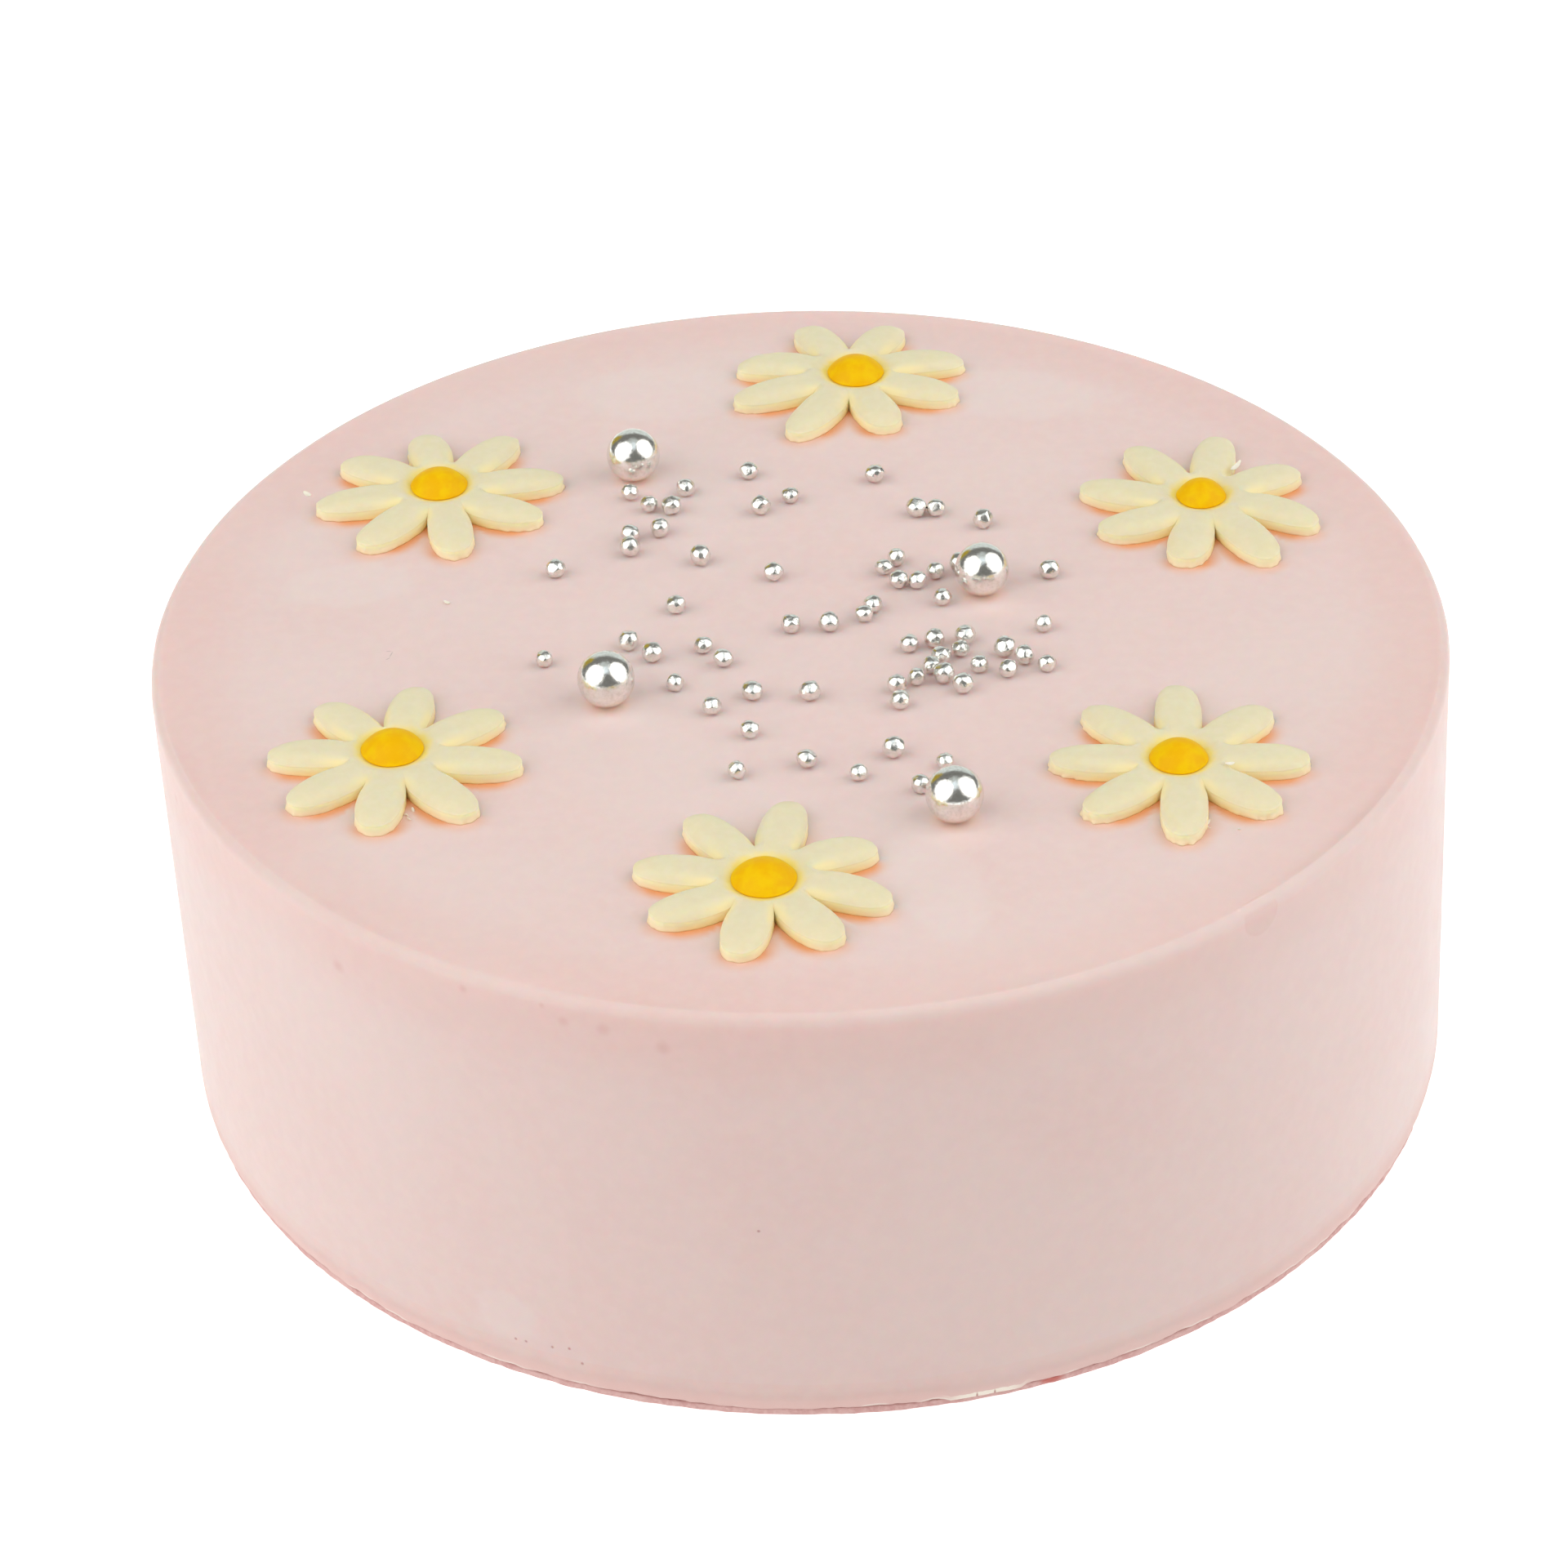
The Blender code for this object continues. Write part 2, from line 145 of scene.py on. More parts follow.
CROWN_SHARES = (1.0, 0.985, 0.965, 0.94, 0.9, 0.85, 0.78, 0.7, 0.6, 0.5, 0.4, 0.3, 0.2, 0.1)

# Large pearls: place on the top and radius
LARGE_PEARLS = (
    (-23.3, 41.4, 3.86),
    (25.8, 8.0, 3.78),
    (-26.4, -17.4, 3.92),
    (19.8, -47.0, 3.86),
)
LARGE_PEARL_SINK = 0.12
LARGE_PEARL_BUMPS = (0.006, 4.0)  # share of its radius, and width
LARGE_PEARL_RINGS = 48

# Small pearls, dropped in pinches: middle of the pinch, its reach, how many, and its seed
PINCHES = (
    (-19, 34, 6, 4, 20138),
    (-4, 35, 7, 3, 48888),
    (19, 31, 11, 4, 49730),
    (-22, 23, 4, 3, 38955),
    (-9, 15, 7, 2, 16390),
    (17, 11, 7, 7, 19388),
    (35, 4, 8, 2, 27372),
    (6, 1, 8, 4, 22312),
    (-35, 4, 13, 2, 56759),
    (-20, -2, 8, 3, 45784),
    (-13, -13, 9, 4, 58884),
    (-4, -21, 7, 3, 57011),
    (19, -8, 5, 5, 22236),
    (18, -17, 7, 6, 189167),
    (29, -11, 5, 5, 44845),
    (-1, -36, 11, 3, 56031),
    (16, -36, 6, 3, 38023),
)
PEARL_SPACING = 2.4
PEARL_CLEARANCE = 5.4
PEARL_RADIUS = (1.2, 1.5)
PEARL_FLATNESS = (0.88, 1.05)
PEARL_TILT = 30
PEARL_SEED = 3
PEARL_SINK = 0.08
PEARL_DENTS = 7
DENT_LEVELS = (0.86, 0.97)  # a dent flattens what stands out past this share of the radius
DENT_FLATNESS = 0.8
PEARL_LUMPS = (0.1, 0.8)  # share of its radius, and width in radii
PEARL_GRAINS = (0.05, 0.27)

# The studio: distance of the soft boxes, where they are, and the room's radiance
BOX_DISTANCE = 1.5
# Degrees to the right of the front, degrees up, half width and half height in degrees, radiance
SOFT_BOXES = {
    "left_soft_box": (-61, 37, 36.5, 38, 1.68),
    "right_soft_box": (79, 38, 35, 36, 1.66),
}
TABLE_GLOW = 0.55
FLOOR_HALF_SIZE = 6.0
ROOM_DARK = (0.19, 0.19, 0.18, 1.0)
ROOM_BACK = (0.7, 0.76, 0.74, 1.0)
ROOM_ABOVE = (0.52, 0.56, 0.55, 1.0)
ROOM_PANEL = (0.85, 0.95, 1.0, 1.0)
ROOM_OCHRE = (0.42, 0.32, 0.04, 1.0)
ROOM_BELOW = (1.05, 1.05, 1.04, 1.0)
# What the pearls mirror of the room: direction, half sizes, turn, softness
BRIGHT_BACK = ((0.0, 0.94, 0.2), (0.66, 0.5, 0.5), 0, 0.15)
OCHRE_PATCH = ((-0.62, 0.72, 0.2), (0.2, 0.22, 0.45), 40, 0.25)
CEILING_PANEL = ((0.03, -0.34, 0.93), (0.2, 0.3, 0.3), 0, 0.3)

# The camera, fitted to the outline of the cake: angles in radians, distance in cake radii
LENS = 120.85
SENSOR = 36.0
CAMERA_RISE = 0.5753
CAMERA_DISTANCE = 8.1299
PITCH = 0.60497
YAW = -0.004458
ROLL = -0.030694


# Helpers


def place_on_circle(distance, turn):
    return Vector((distance * math.cos(turn), distance * math.sin(turn)))


def wander(point, size, seed):
    """Smooth unevenness between -1 and 1 whose bumps are about this many millimetres wide."""
    return noise.noise(Vector(point) / size + Vector((seed, 3.7 * seed, 0.0)))


def smooth_step(value, low, high):
    share = min(1.0, max(0.0, (value - low) / (high - low)))
    return share * share * (3 - 2 * share)


def new_object(name, data):
    made = bpy.data.objects.new(name, data)
    bpy.context.scene.collection.objects.link(made)
    return made


def mesh_object(bm, name, material):
    mesh = bpy.data.meshes.new(name)
    bm.to_mesh(mesh)
    bm.free()
    mesh.materials.append(material)
    return new_object(name, mesh)


def finish_piece(bm, name, material, replaced=()):
    """The bmesh as a smooth piece in metres that rides on the cake."""
    bmesh.ops.recalc_face_normals(bm, faces=bm.faces)
    bmesh.ops.scale(bm, vec=(MM, MM, MM), verts=bm.verts)
    piece = mesh_object(bm, name, material)
    piece.data.shade_smooth()
    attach(piece, "root")
    if replaced:
        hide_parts(*replaced)
    return piece


def ring_of(bm, points):
    verts = [bm.verts.new(point) for point in points]
    return [bm.edges.new((a, b)) for a, b in zip(verts, verts[1:] + verts[:1])]


def skin_rings(bm, rings):
    """Bridges each ring of points to the next and closes both ends."""
    loops = [ring_of(bm, ring) for ring in rings]
    for low, high in zip(loops, loops[1:]):
        bmesh.ops.bridge_loops(bm, edges=low + high)
    for loop in (loops[0], loops[-1]):
        bmesh.ops.contextual_create(bm, geom=loop)


def turned(bm, profile, sides):
    """A profile of (distance, height) points turned about Z into a closed shape."""
    verts = [bm.verts.new((distance, 0.0, height)) for distance, height in profile]
    edges = [bm.edges.new(pair) for pair in zip(verts, verts[1:])]
    bmesh.ops.spin(
        bm,
        geom=verts + edges,
        cent=(0, 0, 0),
        axis=(0, 0, 1),
        angle=2 * math.pi,
        steps=sides,
        use_merge=True,
    )
    bmesh.ops.remove_doubles(bm, verts=bm.verts, dist=MERGE)


def on_top(x, y, z=0.0):
    """A point above the top, which leans to the left."""
    return Vector((x - LEAN / 2, y, CAKE_HEIGHT + z))


def on_wall(degrees, height, inset=0.0):
    turn = math.radians(degrees)
    middle = LEAN / 2 - LEAN * height / CAKE_HEIGHT
    out = CAKE_RADIUS - inset
    return Vector((middle + out * math.cos(turn), out * math.sin(turn), height))


# Materials


def colour(text):
    """An sRGB hex colour as linear RGBA."""
    channels = [int(text[index : index + 2], 16) / 255 for index in (1, 3, 5)]
    linear = [c / 12.92 if c <= 0.04045 else ((c + 0.055) / 1.055) ** 2.4 for c in channels]
    return (*linear, 1.0)


def is_socket(value):
    return isinstance(value, bpy.types.NodeSocket)


def fill(node, inputs):
    """Fills the inputs of a node, each with a value or with a socket that is linked to it."""
    for key, value in inputs.items():
        if is_socket(value):
            node.id_data.links.new(value, node.inputs[key])
        else:
            node.inputs[key].default_value = value


def add(kind, inputs, **settings):
    """One node with its settings and its inputs, in the tree that a linked input is in."""
    tree = next(value.id_data for value in inputs.values() if is_socket(value))
    node = tree.nodes.new("ShaderNode" + kind)
    for key, value in settings.items():
        setattr(node, key, value)
    fill(node, inputs)
    return node


def new_material(name):
    """A material, its shader, and the place on the piece in millimetres."""
    material = bpy.data.materials.new(name)
    material.use_nodes = True
    tree = material.node_tree
    shader = tree.nodes["Principled BSDF"]
    place = tree.nodes.new("ShaderNodeTexCoord").outputs["Object"]
    scaled = add("VectorMath", {0: place, "Scale": 1 / MM}, operation="SCALE")
    return material, shader, scaled.outputs[0]


def noise_of(place, size, detail=2.0, roughness=0.5):
    """Noise between 0 and 1 whose grains are about this many millimetres wide."""
    inputs = {"Vector": place, "Scale": 1 / size, "Detail": detail, "Roughness": roughness}
    return add("TexNoise", inputs).outputs["Fac"]


def spread(value, low, high, new_low=0.0, new_high=1.0):
    """Stretches the values between low and high, smoothly, to a new range."""
    inputs = {"Value": value, 1: low, 2: high, 3: new_low, 4: new_high}
    return add("MapRange", inputs, interpolation_type="SMOOTHSTEP").outputs[0]


def blend(share, first, second, mode="MIX"):
    inputs = {0: share, 6: first, 7: second}
    return add("Mix", inputs, data_type="RGBA", blend_type=mode).outputs[2]


def times(value, share):
    return add("Math", {0: value, 1: share}, operation="MULTIPLY").outputs[0]


def minus(first, second):
    return add("Math", {0: first, 1: second}, operation="SUBTRACT").outputs[0]


def height_of(place):
    return add("SeparateXYZ", {0: place}).outputs["Z"]


def bumped(relief, strength, depth):
    """The normal of a surface with this relief, this many millimetres deep."""
    inputs = {"Height": relief, "Strength": strength, "Distance": depth * MM}
    return add("Bump", inputs).outputs[0]


def stored(material, name):
    """A value that is kept on the mesh under this name."""
    node = material.node_tree.nodes.new("ShaderNodeAttribute")
    node.attribute_name = name
    return node.outputs["Fac"]


def sum_of(first, second, weight):
    """first plus second times weight."""
    inputs = {0: second, 1: weight, 2: first}
    return add("Math", inputs, operation="MULTIPLY_ADD").outputs[0]


def mark_at(place, centre, radii, turn=0.0, soft=0.5):
    """1 inside an egg-shaped mark and 0 outside, with a soft border."""
    inputs = {
        "Vector": place,
        "Location": tuple(centre),
        "Rotation": (0.0, 0.0, math.radians(turn)),
        "Scale": radii,
    }
    local = add("Mapping", inputs, vector_type="TEXTURE").outputs[0]
    away = add("VectorMath", {0: local}, operation="LENGTH").outputs["Value"]
    return spread(away, 1.0 - soft, 1.0 + soft, 1.0, 0.0)


def round_mark(place, centre, radius, soft):
    """1 inside a round mark and 0 outside, with a soft border."""
    inputs = {0: place, 1: tuple(centre)}
    away = add("VectorMath", inputs, operation="DISTANCE").outputs["Value"]
    return spread(away, radius * (1 - soft), radius * (1 + soft), 1.0, 0.0)


# Air bubbles and pores in the wall, painted darker as shade in their pits: direction in degrees,
# height, radius
BUBBLES = (
    (-132.7, 58.6, 0.8),
    (-119.3, 63.6, 0.5),
    (-112.1, 64.3, 0.35),
    (-110.3, 62.5, 0.6),
    (-106.9, 62.3, 0.75),
    (-102.0, 60.6, 0.8),
)
PORES = (
    (-117.4, 6.4),
    (-116.4, 6.5),
    (-113.9, 6.8),
    (-112.3, 7.3),
    (-111.2, 5.2),
    (-95.1, 31.7),
)
PORE_RADIUS = 0.22
# Pale blotches where the glaze set thicker: place, half lengths, turn
BLOTCHES = (
    (on_top(-63.6, 14.5), (9.0, 5.5, 3.0), 10),
    (on_top(-18.9, 65.5), (13.0, 8.0, 3.0), -5),
    (on_top(32.2, 62.6), (15.0, 7.0, 3.0), -12),
    (on_top(16.6, -61.4), (6.0, 13.0, 3.0), 15),
    (on_wall(-118.1, 10.2), (4.5, 4.5, 4.0), 0),
)
# The crease in the rim, its slits painted darker as shade and its lips lighter as a highlight:
# direction, height, inset, half length and half width of its stretches
CREASE_LIPS = (
    (-54.9, 65.5, 1.2, 5.2, 0.24),
    (-51.45, 65.65, 1.4, 0.45, 0.35),
    (-49.5, 65.75, 1.5, 2.9, 0.24),
)
CREASE_SLITS = (
    (-52.2, 65.25, 0.85, 1.0, 0.16),
    (-48.5, 65.4, 1.0, 1.35, 0.16),
)
CREASE_DENT = (-49.6, 64.3, 0.4, 3.0)  # direction, height, inset, radius
# How the glaze's colour changes: painted shade that makes the rim less red, pinker bands beside
# it, and painted light that makes the inside of the top a little lighter
RIM_SHADE_BAND_TOP_LIGHT_TINTS = ((0.92, 0.97, 0.97, 1.0), (1.0, 0.955, 0.945, 1.0), (1.0, 1.01, 1.01, 1.0))
GLOW_TINT = (0.97, 0.52, 0.22, 1.0)  # light that the daisies throw on it
# Painted light under a large pearl, for light the glaze would pass on there, and, weaker, in the
# shade round it: radius in its radii, tint
PAINTED_PEARL_LIGHT = ((0.75, (1.14, 0.99, 0.88, 1.0)), (1.5, (1.07, 1.07, 1.07, 1.0)))
# Painted shade, darker and pinker, near the torn edge, and weaker above it: how high, tint
PAINTED_FOOT_SHADE = ((3.0, (0.95, 0.87, 0.86, 1.0)), (9.0, (1.0, 0.955, 0.94, 1.0)))
BACK_BUBBLES = 7
BACK_BUBBLE_SEED = 21
BACK_BUBBLE_RANGES = ((10, 200), (52, 64), (0.3, 0.7))  # direction, height, radius
# A hook-shaped scratch in the top: middle of each stretch, half length, turn
HOOK = (((-56.9, -3.1), 0.35, 5), ((-56.5, -3.9), 0.65, 75), ((-56.9, -5.0), 0.35, 40))


def back_bubbles():
    """More bubbles round the back of the wall, near the rim as at the front."""
    rng = random.Random(BACK_BUBBLE_SEED)
    return [[rng.uniform(*ends) for ends in BACK_BUBBLE_RANGES] for _ in range(BACK_BUBBLES)]


def along_wall(place, degrees, height, inset, radii):
    """A mark that lies along the wall or the rim, in the direction round the cake."""
    return mark_at(place, on_wall(degrees, height, inset), radii, degrees + 90)


def rim_bands(place):
    """How much a point lies on the rim, in the bands at both sides of it, and inside the top.
    A point's distance from the rim is measured inwards over the top, and down the wall."""
    split = add("SeparateXYZ", {0: place})
    level = add("CombineXYZ", {"X": split.outputs["X"], "Y": split.outputs["Y"]})
    inputs = {0: level.outputs[0], 1: (-LEAN / 2, 0.0, 0.0)}
    out = add("VectorMath", inputs, operation="DISTANCE").outputs["Value"]
    away = minus(minus(CAKE_HEIGHT + CAKE_RADIUS, split.outputs["Z"]), out)
    rim = spread(away, 0.6, 1.8, 1.0, 0.0)
    band = times(spread(away, 1.0, 2.2), spread(away, 5.0, 15.0, 1.0, 0.0))
    flat = spread(split.outputs["Z"], CAKE_HEIGHT - 0.6, CAKE_HEIGHT - 0.2)
    return rim, band, times(spread(away, 5.0, 20.0), flat)


def torn_edge_highlight_and_crack_shade(place, base, above):
    """A painted cream highlight along the lip of the torn edge, most of it in the chip, and
    painted shade in two cracks in the chip.
    """
    patchy = spread(noise_of(place, 7.0, 2.0), 0.48, 0.6)
    # Painted highlight along the lip of the torn edge, paler still in the chip
    lip = times(spread(above, 0.1, 0.35, 1.0, 0.0), patchy)
    base = blend(times(lip, 0.8), base, colour("#F3E4DA"))
    degrees, half, _ = CHIP
    radii = (math.radians(half) * CAKE_RADIUS, 4.0, 4.0)
    chip = along_wall(place, degrees, 1.0, 0.0, radii)
    wobble = sum_of(above, noise_of(place, 1.5, 3.0), -0.6)
    low = spread(wobble, 0.3, 0.42, 1.0, 0.0)
    base = blend(times(low, chip), base, colour("#F6EBDD"))
    # Painted shade in the two cracks
    for degrees in CRACKS:
        crack = along_wall(place, degrees, 1.0, 0.0, (0.13, 1.0, 0.6))
        base = blend(crack, base, colour("#BE948A"))
    return base


def marked(mark, base, relief, tint, share, rise):
    """The glaze with a mark coloured into it, and raised in its relief or sunk."""
    base = blend(times(mark, share), base, colour(tint))
    return base, sum_of(relief, mark, rise)


def clouded_colour(place):
    """The pink of the glaze: faint pale clouds, pinker beside the rim, pale blotches, with painted
    shade on the rim and painted light inside the top.
    """
    clouds = spread(noise_of(place, 34, 2.0), 0.35, 0.7)
    base = blend(clouds, colour("#E5CBC6"), colour("#E5CFCA"))
    mottle = spread(noise_of(place, 2.2, 3.0), 0.3, 0.75)
    base = blend(mottle, base, blend(0.5, base, colour("#EAD2CD")))
    # Painted shade on the rim, pinker bands beside it, painted light inside the top
    for share, tint in zip(rim_bands(place), RIM_SHADE_BAND_TOP_LIGHT_TINTS):
        base = blend(share, base, tint, "MULTIPLY")
    ripple = noise_of(place, 8.0, 4.0)
    for centre, radii, turn in BLOTCHES:
        mark = mark_at(place, centre, radii, turn, 0.45)
        mark = spread(sum_of(mark, ripple, 1.0), 0.7, 1.3)
        base = blend(times(mark, 0.32), base, colour("#E9DBD6"))
    return base


def pearl_light_and_foot_shade(place, base, above):
    """Painted light, warmer, under and round the large pearls; painted shade, darker and pinker,
    near the torn edge.
    """
    for x, y, radius in LARGE_PEARLS:
        for size, tint in PAINTED_PEARL_LIGHT:
            under = round_mark(place, on_top(x, y), size * radius, 0.5)
            base = blend(under, base, tint, "MULTIPLY")
    # Painted shade near the foot of the wall
    for high, tint in PAINTED_FOOT_SHADE:
        base = blend(spread(above, 0.5, high, 1.0, 0.0), base, tint, "MULTIPLY")
    return base


def bubbles_and_pores(place, base, relief):
    # Each is painted darker, as shade in its pit, and sunk in the relief
    for degrees, height, radius in (*BUBBLES, *back_bubbles()):
        mark = round_mark(place, on_wall(degrees, height), radius, 0.8)
        base, relief = marked(mark, base, relief, "#D8A9A4", 0.4, -0.1)
    for degrees, height in PORES:
        mark = round_mark(place, on_wall(degrees, height), PORE_RADIUS, 0.5)
        base, relief = marked(mark, base, relief, "#C79A96", 1.0, -0.3)
    return base, relief


def rim_crease(place, base, relief):
    """The flat dent below the crease in the rim, then its slits and its raised lips: the dent and
    the slits are painted darker as shade, the lips lighter as a highlight.
    """
    degrees, height, inset, radius = CREASE_DENT
    dent = round_mark(place, on_wall(degrees, height, inset), radius, 0.06)
    low = spread(height_of(place), 65.0, 65.6, 1.0, 0.0)
    dent = times(dent, low)
    base, relief = marked(dent, base, relief, "#D5AFA8", 0.2, -0.5)
    # Slits get painted shade, lips a painted highlight
    for stretches, tint, share, rise in (
        (CREASE_SLITS, "#D9A198", 0.8, -0.8),
        (CREASE_LIPS, "#F3E0DA", 0.6, 0.9),
    ):
        for degrees, height, inset, length, width in stretches:
            mark = along_wall(place, degrees, height, inset, (length, width, width))
            base, relief = marked(mark, base, relief, tint, share, rise)
    return base, relief


def pink_glaze():
    """Poured white chocolate glaze, tinted pink: satin, a little translucent, nearly flat, with
    faint pale clouds where it set thicker, pinker beside the rim where it ran thin, and a few
    air bubbles under the rim."""
    material, shader, place = new_material("poured_pink_glaze")
    above = stored(material, "above_torn_edge")
    # Painted light round the large pearls and painted shade near the torn edge
    base = pearl_light_and_foot_shade(place, clouded_colour(place), above)
    base = torn_edge_highlight_and_crack_shade(place, base, above)
    relief = noise_of(place, 11.0, 2.0)
    relief = sum_of(relief, noise_of(place, 0.9, 2.0), 0.05)
    base, relief = bubbles_and_pores(place, base, relief)
    base, relief = rim_crease(place, base, relief)
    for middle, length, turn in HOOK:
        mark = mark_at(place, on_top(*middle), (length, 0.08, 0.5), turn)
        base = blend(times(mark, 0.6), base, colour("#B9A29E"))
    glow = stored(material, "daisy_glow")
    inside = spread(above, 0.5, 3.0)
    clear = spread(glow, 0.0, 0.3, 0.8, 0.0)
    sheen = noise_of(place, 5.0, 3.0)
    inputs = {
        "Base Color": blend(glow, base, GLOW_TINT, "MULTIPLY"),
        "Subsurface Weight": times(inside, clear),
        "Subsurface Radius": (1.0, 0.35, 0.22),
        "Subsurface Scale": 2.6 * MM,
        "Roughness": spread(sheen, 0.2, 0.8, 0.36, 0.46),
        "Normal": bumped(relief, 0.35, 0.25),
        "IOR": 1.45,
        "Specular IOR Level": 0.25,
    }
    fill(shader, inputs)
    return material


def bare_base():
    """Dense pink sponge base, trimmed with a knife: matt, darker and greyer than the glaze,
    with a fine crumb and a few redder spots."""
    material, shader, place = new_material("trimmed_sponge_base")
    crumb = spread(noise_of(place, 0.7, 3.0), 0.3, 0.7)
    base = blend(crumb, colour("#CF9C98"), colour("#DEB3AE"))
    patches = spread(noise_of(place, 9.0, 2.0), 0.45, 0.7)
    base = blend(patches, base, colour("#E2BBB5"))
    red = along_wall(place, -70.7, 0.75, 0.7, (1.5, 1.0, 0.6))
    base = blend(red, base, colour("#CB7269"))
    normal = bumped(crumb, 0.6, 0.15)
    fill(shader, {"Base Color": base, "Normal": normal, "Roughness": 0.7})
    return material


# Where the daisies' colour changes above the glaze: from, to
# Painted light: the creases between the petals' roots are coloured warmer and brighter
ROOT_CREASE_LIGHT = (1.9, 2.55)  # the creases between the roots of the petals
PALE_SIDE = (1.1, 1.6)  # the cut side, which light comes through,
DEEP_SIDE = (0.1, 1.2)  # and its lower part, where it glows yellow


def cream_fondant():
    """Rolled fondant, cut with a daisy cutter: pale cream, waxy and translucent, so that light
    glows through it yellow at the cut sides, with a faint grain and yellow round the centre, and
    painted light in the creases between the petals' roots."""
    material, shader, place = new_material("rolled_cream_fondant")
    grain = spread(noise_of(place, 1.3, 4.0), 0.3, 0.75)
    base = blend(grain, colour("#E2D9B6"), colour("#E5DCBD"))
    height = minus(height_of(place), CAKE_HEIGHT)
    near = stored(material, "centre_away")
    # Painted light in the creases between the petals' roots
    crease = spread(height, *ROOT_CREASE_LIGHT, 1.0, 0.0)
    crease = times(crease, spread(near, 3.5, 7.5, 1.0, 0.0))
    base = blend(crease, base, colour("#F1E2AF"))
    base = blend(spread(height, *PALE_SIDE, 1.0, 0.0), base, colour("#FFF0C6"))
    deep = blend(spread(near, 7.0, 12.0), colour("#FFE8A6"), colour("#FFE6BA"))
    base = blend(spread(height, *DEEP_SIDE, 1.0, 0.0), base, deep)
    solid = spread(height, 0.2, 1.2, 0.15, 0.9)
    solid = blend(crease, solid, (0.45, 0.45, 0.45, 1.0))
    wobble = sum_of(near, noise_of(place, 2.0, 3.0), 1.6)
    stain = spread(wobble, 0.7, 2.2, 0.9, 0.0)
    base = blend(stain, base, colour("#F4DC60"))
    solid = blend(stain, solid, (0.1, 0.1, 0.1, 1.0))
    inputs = {
        "Base Color": base,
        "Subsurface Weight": solid,
        "Subsurface Radius": (1.0, 0.65, 0.3),
        "Subsurface Scale": 2.2 * MM,
        "Roughness": spread(noise_of(place, 0.8, 3.0), 0.3, 0.7, 0.5, 0.62),
        "Normal": bumped(noise_of(place, 0.35, 3.0), 0.4, 0.05),
        "IOR": 1.45,
    }
    fill(shader, inputs)
    return material


def torn_fondant():
    """Shavings and crumbs of the same fondant: dry and whiter, because they are thin."""
    material, shader, place = new_material("dried_fondant_shavings")
    grain = spread(noise_of(place, 0.5, 3.0), 0.3, 0.75)
    base = blend(grain, colour("#EFE6D2"), colour("#F5EFE2"))
    normal = bumped(grain, 0.5, 0.05)
    fill(shader, {"Base Color": base, "Normal": normal, "Roughness": 0.7})
    return material


def yellow_icing():
    """Stiff royal icing in egg yellow, piped as a drop: glossy, thick in the middle, paler and
    more see-through at its thin edge, with faint swirls."""
    material, shader, place = new_material("piped_yellow_icing")
    swirl = spread(noise_of(place, 1.8, 3.0), 0.35, 0.7)
    inputs = {
        "Base Color": blend(swirl, colour("#EEB400"), colour("#F1C300")),
        "Subsurface Weight": 0.1,
        "Subsurface Radius": (1.0, 0.7, 0.1),
        "Subsurface Scale": 0.8 * MM,
        "Roughness": spread(swirl, 0.0, 1.0, 0.45, 0.55),
        "Normal": bumped(noise_of(place, 0.9, 2.0), 0.4, 0.1),
        "IOR": 1.45,
        "Specular IOR Level": 0.1,
    }
    fill(shader, inputs)
    return material


def silver_sugar(name, grain, strength):
    """A sugar ball tumbled with silver powder: a mirror with a fine grain in it, so that its
    reflections have slightly frosted borders."""
    material, shader, place = new_material(name)
    dust = spread(noise_of(place, grain, 4.0, 0.7), 0.35, 0.75)
    inputs = {
        "Base Color": blend(dust, colour("#F4F3EF"), colour("#E3E0D8")),
        "Roughness": spread(dust, 0.0, 1.0, 0.1, 0.24),
        "Normal": bumped(dust, strength, 0.03),
        "Metallic": 1.0,
    }
    fill(shader, inputs)
    return material


# The glazed cake


def glaze_profile():
    """From the middle of the top over the rim, down the wall, and under the torn edge."""
    profile = []
    for start, end, width in TOP_RING_WIDTHS:
        rings = round((end - start) / width)
        profile += [(start + (end - start) * ring / rings, CAKE_HEIGHT) for ring in range(rings)]
    for step in range(RIM_RINGS + 1):
        turn = 0.5 * math.pi * step / RIM_RINGS
        distance = CAKE_RADIUS - RIM_ROUND * (1 - math.sin(turn))
        profile.append((distance, CAKE_HEIGHT - RIM_ROUND * (1 - math.cos(turn))))
    top = CAKE_HEIGHT - RIM_ROUND
    for step in range(1, WALL_RINGS + 1):
        share = (step / WALL_RINGS) ** WALL_CROWDING
        profile.append((CAKE_RADIUS, top + (TORN_ZONE - top) * share))
    profile += [(CAKE_RADIUS, height) for height in FOOT_HEIGHTS]
    profile += [(CAKE_RADIUS - inset, height) for inset, height in UNDERSIDE]
    profile.append((0.0, UNDERSIDE_HEIGHT))
    return profile


def torn_edge(turn):
    """How high the torn edge of the glaze ends, at this angle."""
    spot = Vector((CAKE_RADIUS * math.cos(turn), CAKE_RADIUS * math.sin(turn), 0.0))
    slow = WAVE_HEIGHT * wander(spot, 16, 1)
    quick = BITE_HEIGHT * max(0.0, wander(spot, 4, 2)) + NICK_HEIGHT * wander(spot, 1.6, 3)
    degrees, half, height = CHIP
    inside = half + CHIP_END - abs(math.degrees(turn) - degrees)
    chipped = smooth_step(inside, 0.0, CHIP_END)
    chip_height = height + CHIP_RAGGED * quick
    return (TORN_LINE + slow + quick) * (1 - chipped) + chip_height * chipped


